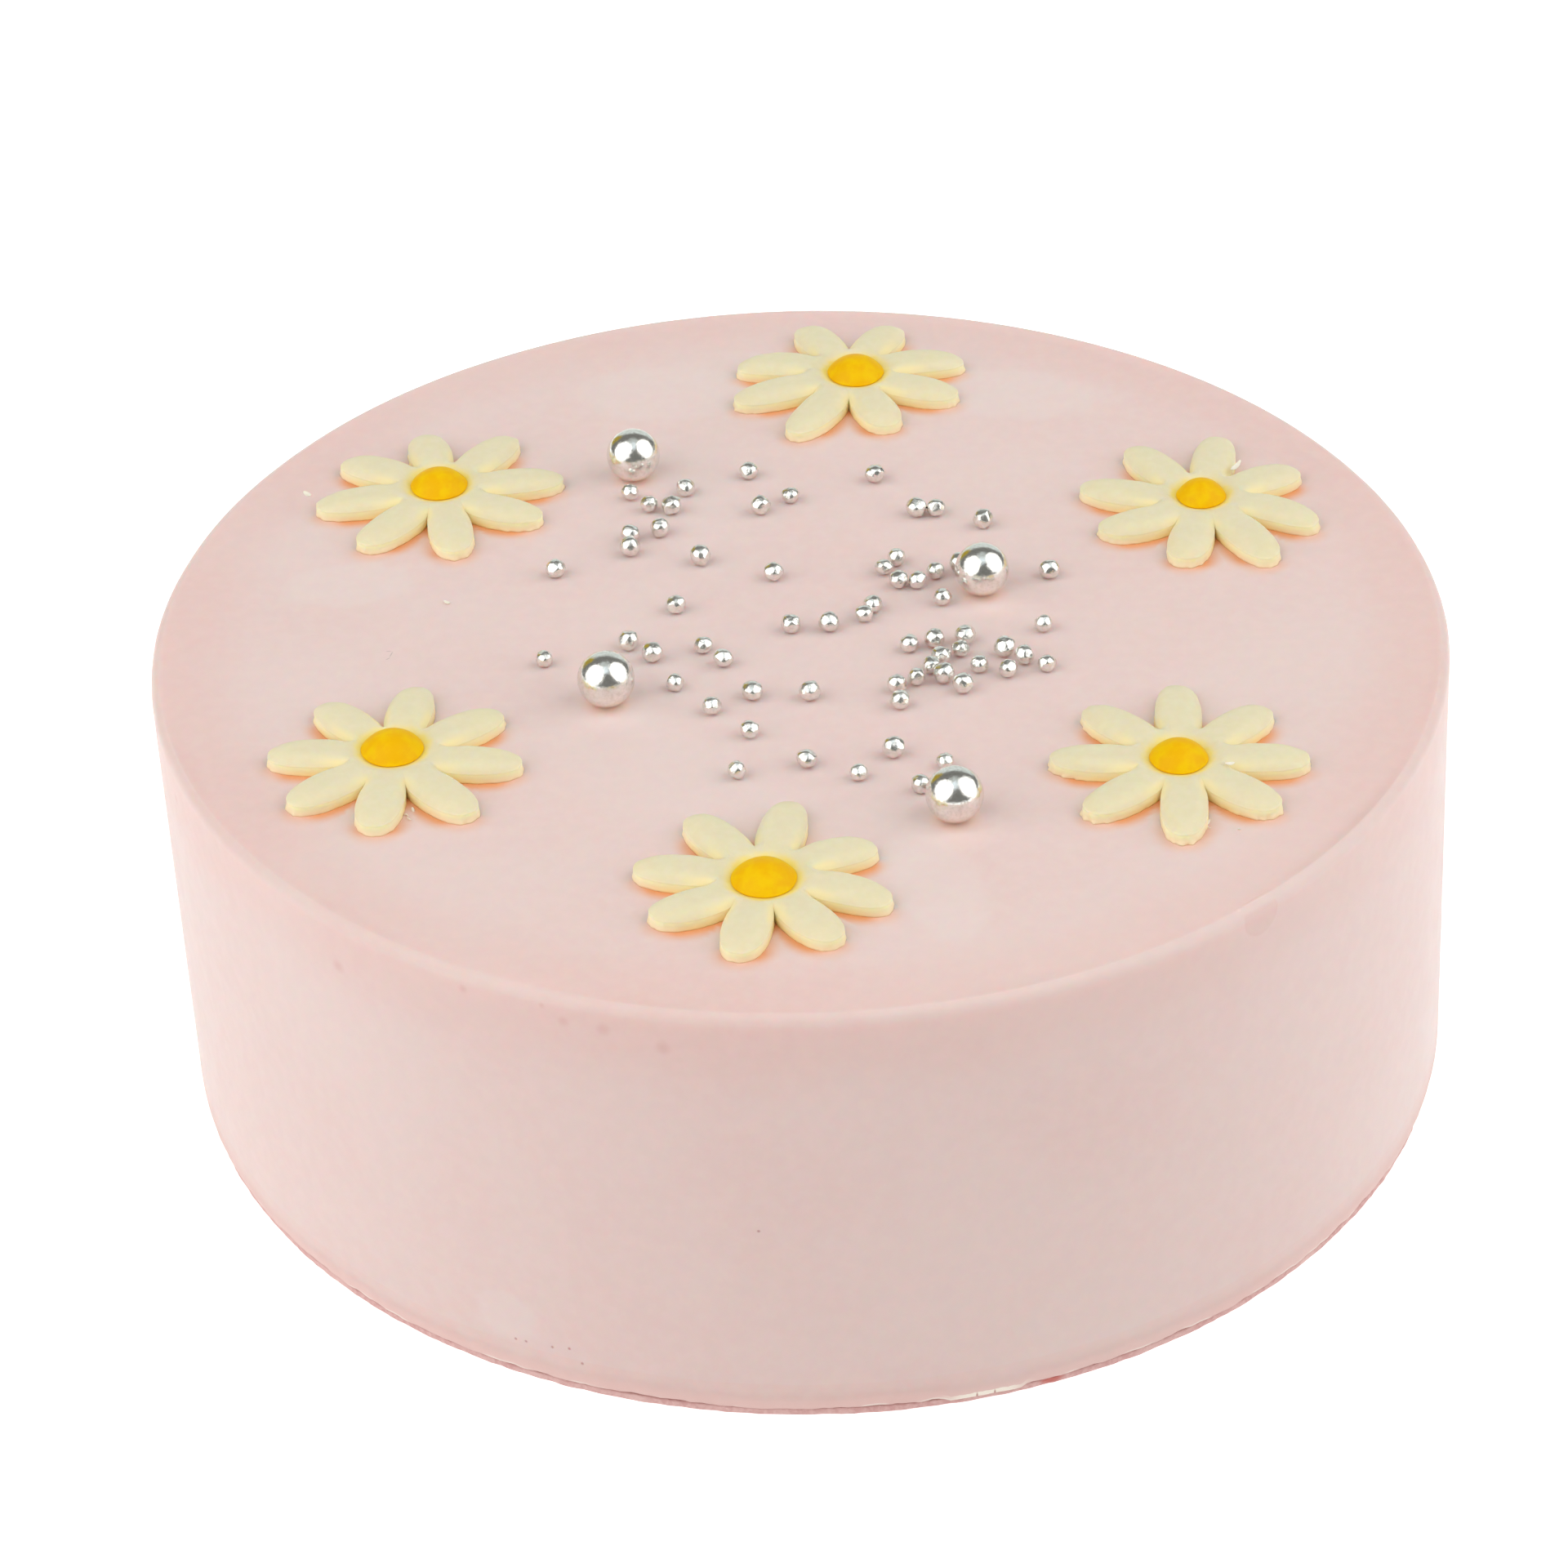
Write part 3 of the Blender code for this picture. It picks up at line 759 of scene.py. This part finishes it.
def shape_glaze(bm):
    """Unevenness of the hand: faint waves in the top and the wall, and the torn edge."""
    for vert in bm.verts:
        x, y, z = vert.co
        distance = math.hypot(x, y)
        turn = math.atan2(y, x)
        if distance > CAKE_RADIUS - TORN_DEPTH and z < TORN_ZONE:
            share = min(1.0, (TORN_ZONE - z) / (TORN_ZONE - TORN_LINE))
            z += share * (torn_edge(turn) - TORN_LINE)
        if z > CAKE_HEIGHT - 0.01:
            z -= TOP_WAVE * (1 + wander((x, y, 0.0), 26, 5))
        if distance > CAKE_RADIUS - RIM_ROUND:
            wave = WALL_WAVE * (1 + wander((x, y, 0.4 * z), 22, 6))
            wave += WALL_RIPPLE * (1 + wander((x, y, z), 5, 7))
            low = smooth_step(z, TORN_ZONE, 0.8) * FOOT_WAVE * (1 + wander((x, y, 0.0), 4, 8))
            factor = 1 - (wave + low) / distance
            x, y = x * factor, y * factor
        vert.co = Vector((x + LEAN / 2 - LEAN * z / CAKE_HEIGHT, y, z))


def daisy_frame(daisy, tips):
    """A daisy's middle, the turn back to its own directions, and its petals."""
    distance, direction, turn = daisy[:3]
    middle = place_on_circle(distance, math.radians(direction))
    return middle, Matrix.Rotation(-math.radians(turn), 2), daisy_petals(tips)


def daisy_points(frames):
    """Points round all the daisies on the top, in a tree that finds the nearest, and how far
    the outline looks to the front at each."""
    points, fronts = [], []
    for middle, upright, petals in frames:
        spots = [middle + upright.transposed() @ spot for spot, _ in daisy_outline(petals)]
        for index, spot in enumerate(spots):
            along = spots[(index + 1) % len(spots)] - spots[index - 1]
            points.append(on_top(*spot))
            fronts.append(along.x / along.length)
    nearest = KDTree(len(points))
    for index, point in enumerate(points):
        nearest.insert(point, index)
    nearest.balance()
    return nearest, fronts


def is_covered(place, frames):
    """Whether a place on the top lies beneath a daisy."""
    spot = Vector((place.x + LEAN / 2, place.y))
    for middle, upright, petals in frames:
        away = (spot - middle).length
        if away < PETAL_JOIN - 1:
            return True
        if away < PETAL_MIDDLE + 2 * PETAL_INNER:
            local = upright @ (spot - middle)
            for petal in petals:
                turn = math.atan2(local.y, local.x) - midline_turn(petal, away)
                point = place_on_circle(away, turn)
                if point.x > 0 and petal_depth(point.x, point.y, petal[1]) < 1:
                    return True
    return False


def keep(piece, name, values):
    """Keeps a value for each point of a piece, which its material reads."""
    piece.data.attributes.new(name, "FLOAT", "POINT").data.foreach_set("value", values)


def keep_glow(piece):
    """Stores on the mesh how much light the daisies throw on the glaze, most at their front."""
    frames = [daisy_frame(daisy, tips) for daisy, tips in zip(DAISIES, PETAL_TIPS)]
    nearest, fronts = daisy_points(frames)
    values = []
    for vert in piece.data.vertices:
        place = vert.co / MM
        glow = 0.0
        if place.z > CAKE_HEIGHT - 1:
            away = nearest.find(place)[2]
            if away < 2 * GLOW_REACH:
                found = nearest.find_n(place, GLOW_NEIGHBOURS)
                front = sum(fronts[index] for _, index, _ in found) / GLOW_NEIGHBOURS
                if is_covered(place, frames):
                    away = 0.0
                forwards = smooth_step(front, *GLOW_FRONT)
                spot = Vector((place.x + LEAN / 2, place.y))
                middle = min((spot - frame[0]).length for frame in frames)
                strength = forwards * (1 - TIP_FADE * smooth_step(middle, *TIP_ZONE))
                strength = max(strength, smooth_step(middle, *NOTCH_GLOW))
                glow = strength * (1 - smooth_step(away, GLOW_START, GLOW_REACH))
        values.append(glow)
    keep(piece, "daisy_glow", values)


def keep_height(piece):
    """Stores on the mesh how high each point of the wall lies above the torn edge."""
    values = []
    for vert in piece.data.vertices:
        x, y, z = vert.co / MM
        turn = math.atan2(y, x - LEAN / 2)
        values.append(z - torn_edge(turn) if z < 2 * TORN_ZONE else CAKE_HEIGHT)
    keep(piece, "above_torn_edge", values)


def make_glaze(material):
    bm = bmesh.new()
    turned(bm, glaze_profile(), GLAZE_SIDES)
    shape_glaze(bm)
    piece = finish_piece(bm, "poured_glaze", material, ["cake"])
    keep_glow(piece)
    keep_height(piece)


def make_base(material):
    """The trimmed base: a thin disc whose side is slightly crumbly."""
    bm = bmesh.new()
    out = CAKE_RADIUS - BASE_RECESS
    side = [(out - inset, height) for inset, height in BASE_SIDE]
    turned(bm, [(0.0, side[0][1]), *side, (0.0, side[-1][1])], GLAZE_SIDES)
    coarse, fine, inset = BASE_CRUMB
    for vert in bm.verts:
        distance = math.hypot(vert.co.x, vert.co.y)
        if distance > out - 1:
            crumb = coarse * wander(vert.co, 2.4, 11) + fine * wander(vert.co, 0.8, 12)
            vert.co.xy *= 1 + (crumb - inset) / distance
        vert.co.x += LEAN / 2
    finish_piece(bm, "sponge_base", material, ["base_layer"])


# Daisies


def half_of_petal(outwards, reach):
    """The length and the outline's exponent of a petal's outer or inner half."""
    if outwards > 0:
        return reach - PETAL_MIDDLE, PETAL_TIP
    return PETAL_INNER, PETAL_ROOT


def petal_depth(along, across, reach):
    """How far out in a petal a point lies: 0 at its middle, 1 on its outline, more outside."""
    half_length, blunt = half_of_petal(along - PETAL_MIDDLE, reach)
    lengthways = abs(along - PETAL_MIDDLE) / half_length
    sideways = abs(across) / PETAL_HALF_WIDTH
    return (lengthways**blunt + sideways**blunt) ** (1 / blunt)


def blunted(share, blunt):
    return math.copysign(abs(share) ** (2 / blunt), share)


def outline_point(turn, reach):
    """A point of a petal's outline, at this angle about the petal's middle."""
    half_length, blunt = half_of_petal(math.cos(turn), reach)
    along = PETAL_MIDDLE + half_length * blunted(math.cos(turn), blunt)
    return Vector((along, PETAL_HALF_WIDTH * blunted(math.sin(turn), blunt)))


def notch_turn(petals):
    """The angle about a petal's middle at which its outline first meets, or nears, the next."""
    furthest = math.tan(math.pi / petals)

    def slope(turn):
        point = outline_point(turn, PETAL_MIDDLE)
        return min(furthest, point.y / point.x)

    turns = [math.pi / 2 * (1 + step / NOTCH_STEPS) for step in range(1, NOTCH_STEPS)]
    return max(turns, key=slope)


def daisy_petals(tips):
    """For each petal, its direction, the reach of its tip and the angle that it points aside."""
    return [
        (2 * math.pi * index / len(tips), reach * TENTH, math.radians(aside))
        for index, (reach, aside) in enumerate(tips)
    ]


def midline_turn(petal, distance):
    """The direction of a petal's midline at this distance from the daisy's middle."""
    direction, reach, aside = petal
    return direction + aside * max(0.0, distance - PETAL_JOIN) / (reach - PETAL_JOIN)


def daisy_outline(petals):
    """Points round a daisy, each with the petal that it belongs to."""
    widest = notch_turn(len(petals))
    outline = []
    for petal in petals:
        for step in range(STEPS_PER_PETAL):
            point = outline_point(widest * (2 * step / STEPS_PER_PETAL - 1), petal[1])
            turn = midline_turn(petal, point.length) + math.atan2(point.y, point.x)
            outline.append((place_on_circle(point.length, turn), petal))
    return outline


def crown_height(spot, petal, centre, radius):
    """The top of a daisy: the pillow of its petals, and the seat of its yellow centre."""
    turn = math.atan2(spot.y, spot.x) - midline_turn(petal, spot.length)
    local = place_on_circle(spot.length, turn)
    depth = min(1.0, petal_depth(local.x, local.y, petal[1]))
    drop = PETAL_EDGE_DROP * smooth_step(spot.length, *NOTCH_FADE)
    pillow = DAISY_RISE - drop * depth**PETAL_ROUND
    away = max(0.0, (spot - centre).length - radius)
    return min(pillow, DAISY_RISE - CENTRE_DIP + CENTRE_SLOPE * away)


def crumbled(spot, height, seed):
    """A point of the cut side of a daisy: a ragged burr at its foot, nicks at its shoulder."""
    point = (spot.x, spot.y, height)
    ragged = RAGGED[seed // 10 - 1]
    burr = BURR + BURR_RAGGED * ragged * wander(point, 0.9, seed)
    burr *= smooth_step(height, BURR_HEIGHT, 0.0)
    nicks = NICKS * ragged * wander(point, 0.7, seed + 1) + CUT_WAVE * wander(point, 2.6, seed + 2)
    return spot * (1 + (burr + nicks) / spot.length)


def seat_point(direction, centre, radius):
    """Where a ray from the daisy's middle crosses the edge of the seat, which lies off it."""
    along = centre.dot(direction)
    return direction * (along + math.sqrt(along**2 - centre.length_squared + radius**2))


def daisy_rings(petals, centre, radius, seed):
    """The rings of a daisy: its cut side, then its crown from the outline inwards."""
    outline = daisy_outline(petals)
    seat = [seat_point(spot.normalized(), centre, radius) for spot, _ in outline]
    rise, width = CROWN_WAVE
    rings = []
    for height in WALL_HEIGHTS:
        rings.append([(*crumbled(spot, height, seed), height) for spot, _ in outline])
    for share in CROWN_SHARES:
        ring = []
        for inner, (spot, petal) in zip(seat, outline):
            place = inner.lerp(spot, share)
            height = crown_height(place, petal, centre, radius)
            height += rise * wander((*place, 0.0), width, seed) * (1 - share**8)
            if share > SHOULDER:
                place = crumbled(place, height, seed)
            ring.append((*place, height))
        rings.append(ring)
    rings.append([(*inner, DAISY_RISE - CENTRE_DIP - SEAT_SINK) for inner in seat])
    return rings


def keep_distance(piece, centre, radius):
    """Stores on the mesh how far each point lies from the rim of the yellow centre."""
    middle = centre * MM
    values = [(vert.co.xy - middle).length / MM - radius for vert in piece.data.vertices]
    keep(piece, "centre_away", values)


def make_daisy(number, daisy, tips, material):
    turn, offset, radius = daisy[2:]
    middle, upright, petals = daisy_frame(daisy, tips)
    bm = bmesh.new()
    skin_rings(bm, daisy_rings(petals, upright @ Vector(offset), radius, 10 * number))
    bmesh.ops.rotate(bm, matrix=Matrix.Rotation(math.radians(turn), 3, "Z"), verts=bm.verts)
    bmesh.ops.translate(bm, vec=on_top(*middle, -DAISY_SINK), verts=bm.verts)
    name = f"cut_daisy_{number}"
    piece = finish_piece(bm, name, material, [f"daisy_{number}"])
    keep_distance(piece, on_top(*(middle + Vector(offset))).xy, radius)


def make_centre(number, daisy, material):
    """A drop of yellow icing: a flat cap with a thin edge, a little lumpy."""
    distance, direction, _, offset, radius = daisy
    profile = []
    for step in range(CENTRE_STEPS + 1):
        share = math.sin(0.5 * math.pi * step / CENTRE_STEPS)
        profile.append((radius * share, CENTRE_HEIGHT * (1 - share**2) ** CENTRE_BLUNT))
    inset, depth = CENTRE_FOOT
    profile += [(radius - inset, -depth), (0.0, -depth)]
    bm = bmesh.new()
    turned(bm, profile, CENTRE_SIDES)
    bulge, width = CENTRE_LUMPS
    for vert in bm.verts:
        lump = 1 + bulge * wander(vert.co, width, 7 * number)
        vert.co = Vector((vert.co.x * lump, vert.co.y * lump, vert.co.z * (2 - lump)))
    middle = place_on_circle(distance, math.radians(direction)) + Vector(offset)
    seat = DAISY_RISE - CENTRE_DIP + CENTRE_LIFT
    bmesh.ops.translate(bm, vec=on_top(*middle, seat), verts=bm.verts)
    name = f"yellow_centre_{number}"
    finish_piece(bm, name, material, [f"daisy_centre_{number}"])


# Pearls


def make_large_pearl(number, pearl, material):
    """A sugar ball, round to a tenth of a millimetre, sunk a little into the glaze."""
    x, y, radius = pearl
    bm = bmesh.new()
    rings = LARGE_PEARL_RINGS
    bmesh.ops.create_uvsphere(bm, u_segments=2 * rings, v_segments=rings, radius=radius)
    bump, width = LARGE_PEARL_BUMPS
    for vert in bm.verts:
        vert.co *= 1 + bump * wander(vert.co, width, 30 + number)
    bmesh.ops.translate(bm, vec=on_top(x, y, radius - LARGE_PEARL_SINK), verts=bm.verts)
    name = f"large_silver_pearl_{number}"
    finish_piece(bm, name, material, [f"large_pearl_{number}"])


def drop_pearls():
    """Where the small pearls lie on the top: each pinch falls inside its own round patch."""
    places = []
    for x, y, reach, count, seed in PINCHES:
        rng = random.Random(seed)
        goal = len(places) + count
        while len(places) < goal:
            turn = rng.uniform(0, 2 * math.pi)
            spot = Vector((x, y)) + place_on_circle(reach * math.sqrt(rng.random()), turn)
            free = all((spot - other).length > PEARL_SPACING for other in places)
            clear = all((spot - Vector(big[:2])).length > PEARL_CLEARANCE for big in LARGE_PEARLS)
            if free and clear:
                places.append(spot)
    return places


def small_pearl(bm, radius, flatness, tilt, place, seed):
    """A knobbly silver ball with soft dents, as small pearls have that dried in a heap."""
    rng = random.Random(seed)
    made = bmesh.ops.create_icosphere(bm, subdivisions=4, radius=1.0)["verts"]
    dents = []
    for _ in range(PEARL_DENTS):
        way = Vector([rng.gauss(0, 1) for _ in range(3)]).normalized()
        dents.append((way, rng.uniform(*DENT_LEVELS)))
    (lump, lump_width), (grain, grain_width) = PEARL_LUMPS, PEARL_GRAINS
    lowest = 0.0
    for vert in made:
        way = vert.co.normalized()
        reach = 1 + lump * wander(way, lump_width, seed) + grain * wander(way, grain_width, seed)
        for dent, depth in dents:
            level = way.dot(dent) * reach
            if level > depth:
                reach -= DENT_FLATNESS * (level - depth)
        vert.co = tilt @ (way * radius * reach * Vector((1, 1, flatness)))
        lowest = min(lowest, vert.co.z)
    for vert in made:
        vert.co += place - Vector((0, 0, lowest + PEARL_SINK))


def make_small_pearls(material):
    rng = random.Random(PEARL_SEED)
    askew = math.radians(PEARL_TILT)
    bm = bmesh.new()
    for index, spot in enumerate(drop_pearls()):
        radius = rng.uniform(*PEARL_RADIUS)
        flatness = rng.uniform(*PEARL_FLATNESS)
        spin = Matrix.Rotation(rng.uniform(0, math.pi), 3, "Z")
        tilt = spin @ Matrix.Rotation(rng.uniform(-askew, askew), 3, "X")
        small_pearl(bm, radius, flatness, tilt, on_top(*spot), 100 + index)
    finish_piece(bm, "small_silver_pearls", material, ["cake"])


# Crumbs and shavings

# Crumbs of fondant: middle of the scatter on the top, its reach, how many
CRUMBS = (
    ((52.3, -50.7), 2.2, 3),
    ((-52.9, -43.3), 2.0, 5),
    ((56.0, -53.0), 4.0, 1),
)
CRUMB_SEED = 8
CRUMB_RADIUS = (0.1, 0.26)
CRUMB_STRETCH = ((0.8, 1.8), (0.5, 1.0), (0.4, 0.8))
CRUMB_TURNS = (0, 6.28)
CRUMB_LUMPS = (0.35, 0.4)  # share by which it bulges, and width of the bulges
CRUMB_REST = 0.6  # how far its middle lies above the glaze, as a share of its radius
# Shavings of fondant: place, height above the top, length, width, turn in degrees
SHAVINGS = (
    ((63.6, 35.5), 2.3, 3.0, 0.75, 58),
    ((-70.4, 35.7), 2.0, 1.7, 0.8, 125),
    ((-38.0, -32.2), 1.0, 0.9, 0.16, 60),
    ((52.6, -50.5), 0.2, 1.9, 0.5, 52),
    ((-52.2, -44.0), 0.1, 0.9, 0.16, -45),
    ((-49.3, 8.8), 0.04, 1.1, 0.55, -40),
    ((56.5, -40.3), 2.65, 1.3, 0.6, 5),
)
SHAVING_THICKNESS = 0.13
SHAVING_RAGGED = (0.3, 0.5)  # share by which its sides fray, and width of the frays
SHAVING_CURL = (0.16, 0.2)  # rise of its ends and of its sides, as shares of length and width


def make_crumbs(material):
    """Specks that the cutter left beside the daisies."""
    rng = random.Random(CRUMB_SEED)
    bulge, width = CRUMB_LUMPS
    bm = bmesh.new()
    for (x, y), reach, count in CRUMBS:
        for _ in range(count):
            away = reach * rng.random()
            spot = Vector((x, y)) + place_on_circle(away, rng.uniform(*CRUMB_TURNS))
            size = rng.uniform(*CRUMB_RADIUS)
            made = bmesh.ops.create_icosphere(bm, subdivisions=2, radius=size)["verts"]
            turn = Euler([rng.uniform(0, 3) for _ in range(3)]).to_matrix()
            stretch = Vector([rng.uniform(*shares) for shares in CRUMB_STRETCH])
            for vert in made:
                vert.co *= 1 + bulge * wander(vert.co, width, 60)
                vert.co = turn @ (vert.co * stretch) + on_top(*spot, CRUMB_REST * size)
    finish_piece(bm, "fondant_crumbs", material)


def make_shavings(material):
    """Thin curled flakes of fondant that the cutter tore off."""
    bm = bmesh.new()
    (fray, wide), (ends, sides) = SHAVING_RAGGED, SHAVING_CURL
    for number, ((x, y), height, length, width, degrees) in enumerate(SHAVINGS):
        made = bmesh.ops.create_icosphere(bm, subdivisions=4, radius=1.0)["verts"]
        turn = Matrix.Rotation(math.radians(degrees), 3, "Z")
        for vert in made:
            along, across, up = vert.co
            ragged = 1 + fray * wander(vert.co, wide, 70 + number)
            curl = ends * length * along**2 + sides * width * across**2
            place = Vector((along * length / 2, across * width / 2 * ragged, 0.0))
            place.z = up * SHAVING_THICKNESS + curl
            vert.co = turn @ place + on_top(x, y, height)
    finish_piece(bm, "fondant_shavings", material)


# Floor, light and camera


def soft_box(name, right, rise, half_width, half_height, glow):
    """An oval soft box that faces the cake."""
    light = bpy.data.lights.new(name, "AREA")
    light.shape = "ELLIPSE"
    light.size = 2 * BOX_DISTANCE * math.tan(math.radians(half_width))
    light.size_y = 2 * BOX_DISTANCE * math.tan(math.radians(half_height))
    light.energy = glow * math.pi * (math.pi / 4 * light.size * light.size_y)
    lamp = new_object(name, light)
    turn, rise = math.radians(right - 90), math.radians(rise)
    flat, high = BOX_DISTANCE * math.cos(rise), BOX_DISTANCE * math.sin(rise)
    lamp.location = (flat * math.cos(turn), flat * math.sin(turn), high)
    lamp.rotation_euler = lamp.location.to_track_quat("Z", "Y").to_euler()
    lamp.visible_camera = False


def pale_floor():
    """A lit table top of white board: its own glow keeps it pale round the cake."""
    material, shader, place = new_material("pale_table")
    grain = noise_of(place, 40.0, 2.0)
    inputs = {
        "Base Color": blend(grain, colour("#F7F6F5"), colour("#F4F3F2")),
        "Roughness": 0.85,
        "Emission Color": colour("#FFFFFF"),
        "Emission Strength": TABLE_GLOW,
    }
    fill(shader, inputs)
    return material


def make_floor():
    bm = bmesh.new()
    bmesh.ops.create_grid(bm, x_segments=1, y_segments=1, size=FLOOR_HALF_SIZE)
    floor = mesh_object(bm, "floor", pale_floor())
    floor.visible_diffuse = False


def make_room():
    """The room that the pearls mirror: dark, with a pale patch behind the cake, a panel overhead
    and an ochre patch at the back left. Below the horizon it is the lit table."""
    world = bpy.data.worlds.new("room")
    world.use_nodes = True
    tree = world.node_tree
    way = tree.nodes.new("ShaderNodeTexCoord").outputs["Generated"]
    height = height_of(way)
    room = blend(mark_at(way, *BRIGHT_BACK), ROOM_DARK, ROOM_BACK)
    room = blend(mark_at(way, *OCHRE_PATCH), room, ROOM_OCHRE)
    room = blend(spread(height, 0.92, 0.97), room, ROOM_ABOVE)
    room = blend(mark_at(way, *CEILING_PANEL), room, ROOM_PANEL)
    room = blend(spread(height, -0.02, 0.0, 1.0, 0.0), room, ROOM_BELOW)
    fill(tree.nodes["Background"], {"Color": room})
    bpy.context.scene.world = world


def make_studio():
    """A pale table, a large soft box at each side, and a dim room above and in front."""
    make_floor()
    for name, box in SOFT_BOXES.items():
        soft_box(name, *box)
    make_room()
    bpy.context.scene.view_settings.view_transform = "Standard"


def make_camera():
    """The photograph's camera: a long lens, 35 degrees down at the front of the cake."""
    camera = bpy.data.cameras.new("camera")
    camera.lens = LENS
    camera.sensor_width = SENSOR
    camera.clip_end = 20.0
    holder = new_object("camera", camera)
    level = math.cos(PITCH)
    forward = Vector((math.sin(YAW) * level, math.cos(YAW) * level, -math.sin(PITCH)))
    right = forward.cross(Vector((0, 0, 1))).normalized()
    up = right.cross(forward)
    across = math.cos(ROLL) * right + math.sin(ROLL) * up
    upward = -math.sin(ROLL) * right + math.cos(ROLL) * up
    turned_to = Matrix((across, upward, -forward)).transposed()
    away = CAMERA_DISTANCE * CAKE_RADIUS * MM
    back, high = -away * math.cos(CAMERA_RISE), away * math.sin(CAMERA_RISE)
    place = Vector((-LEAN / 2 * MM, back, high + CAKE_HEIGHT * MM))
    holder.matrix_world = Matrix.Translation(place) @ turned_to.to_4x4()
    bpy.context.scene.camera = holder


def main():
    make_studio()
    make_camera()
    fondant = cream_fondant()
    icing = yellow_icing()
    smooth_silver = silver_sugar("tumbled_silver_sugar", 0.5, 0.25)
    rough_silver = silver_sugar("small_silver_sugar", 0.45, 0.5)
    make_glaze(pink_glaze())
    make_base(bare_base())
    for number, (daisy, tips) in enumerate(zip(DAISIES, PETAL_TIPS), start=1):
        make_daisy(number, daisy, tips, fondant)
        make_centre(number, daisy, icing)
    for number, pearl in enumerate(LARGE_PEARLS, start=1):
        make_large_pearl(number, pearl, smooth_silver)
    make_small_pearls(rough_silver)
    dried = torn_fondant()
    make_crumbs(dried)
    make_shavings(dried)


main()
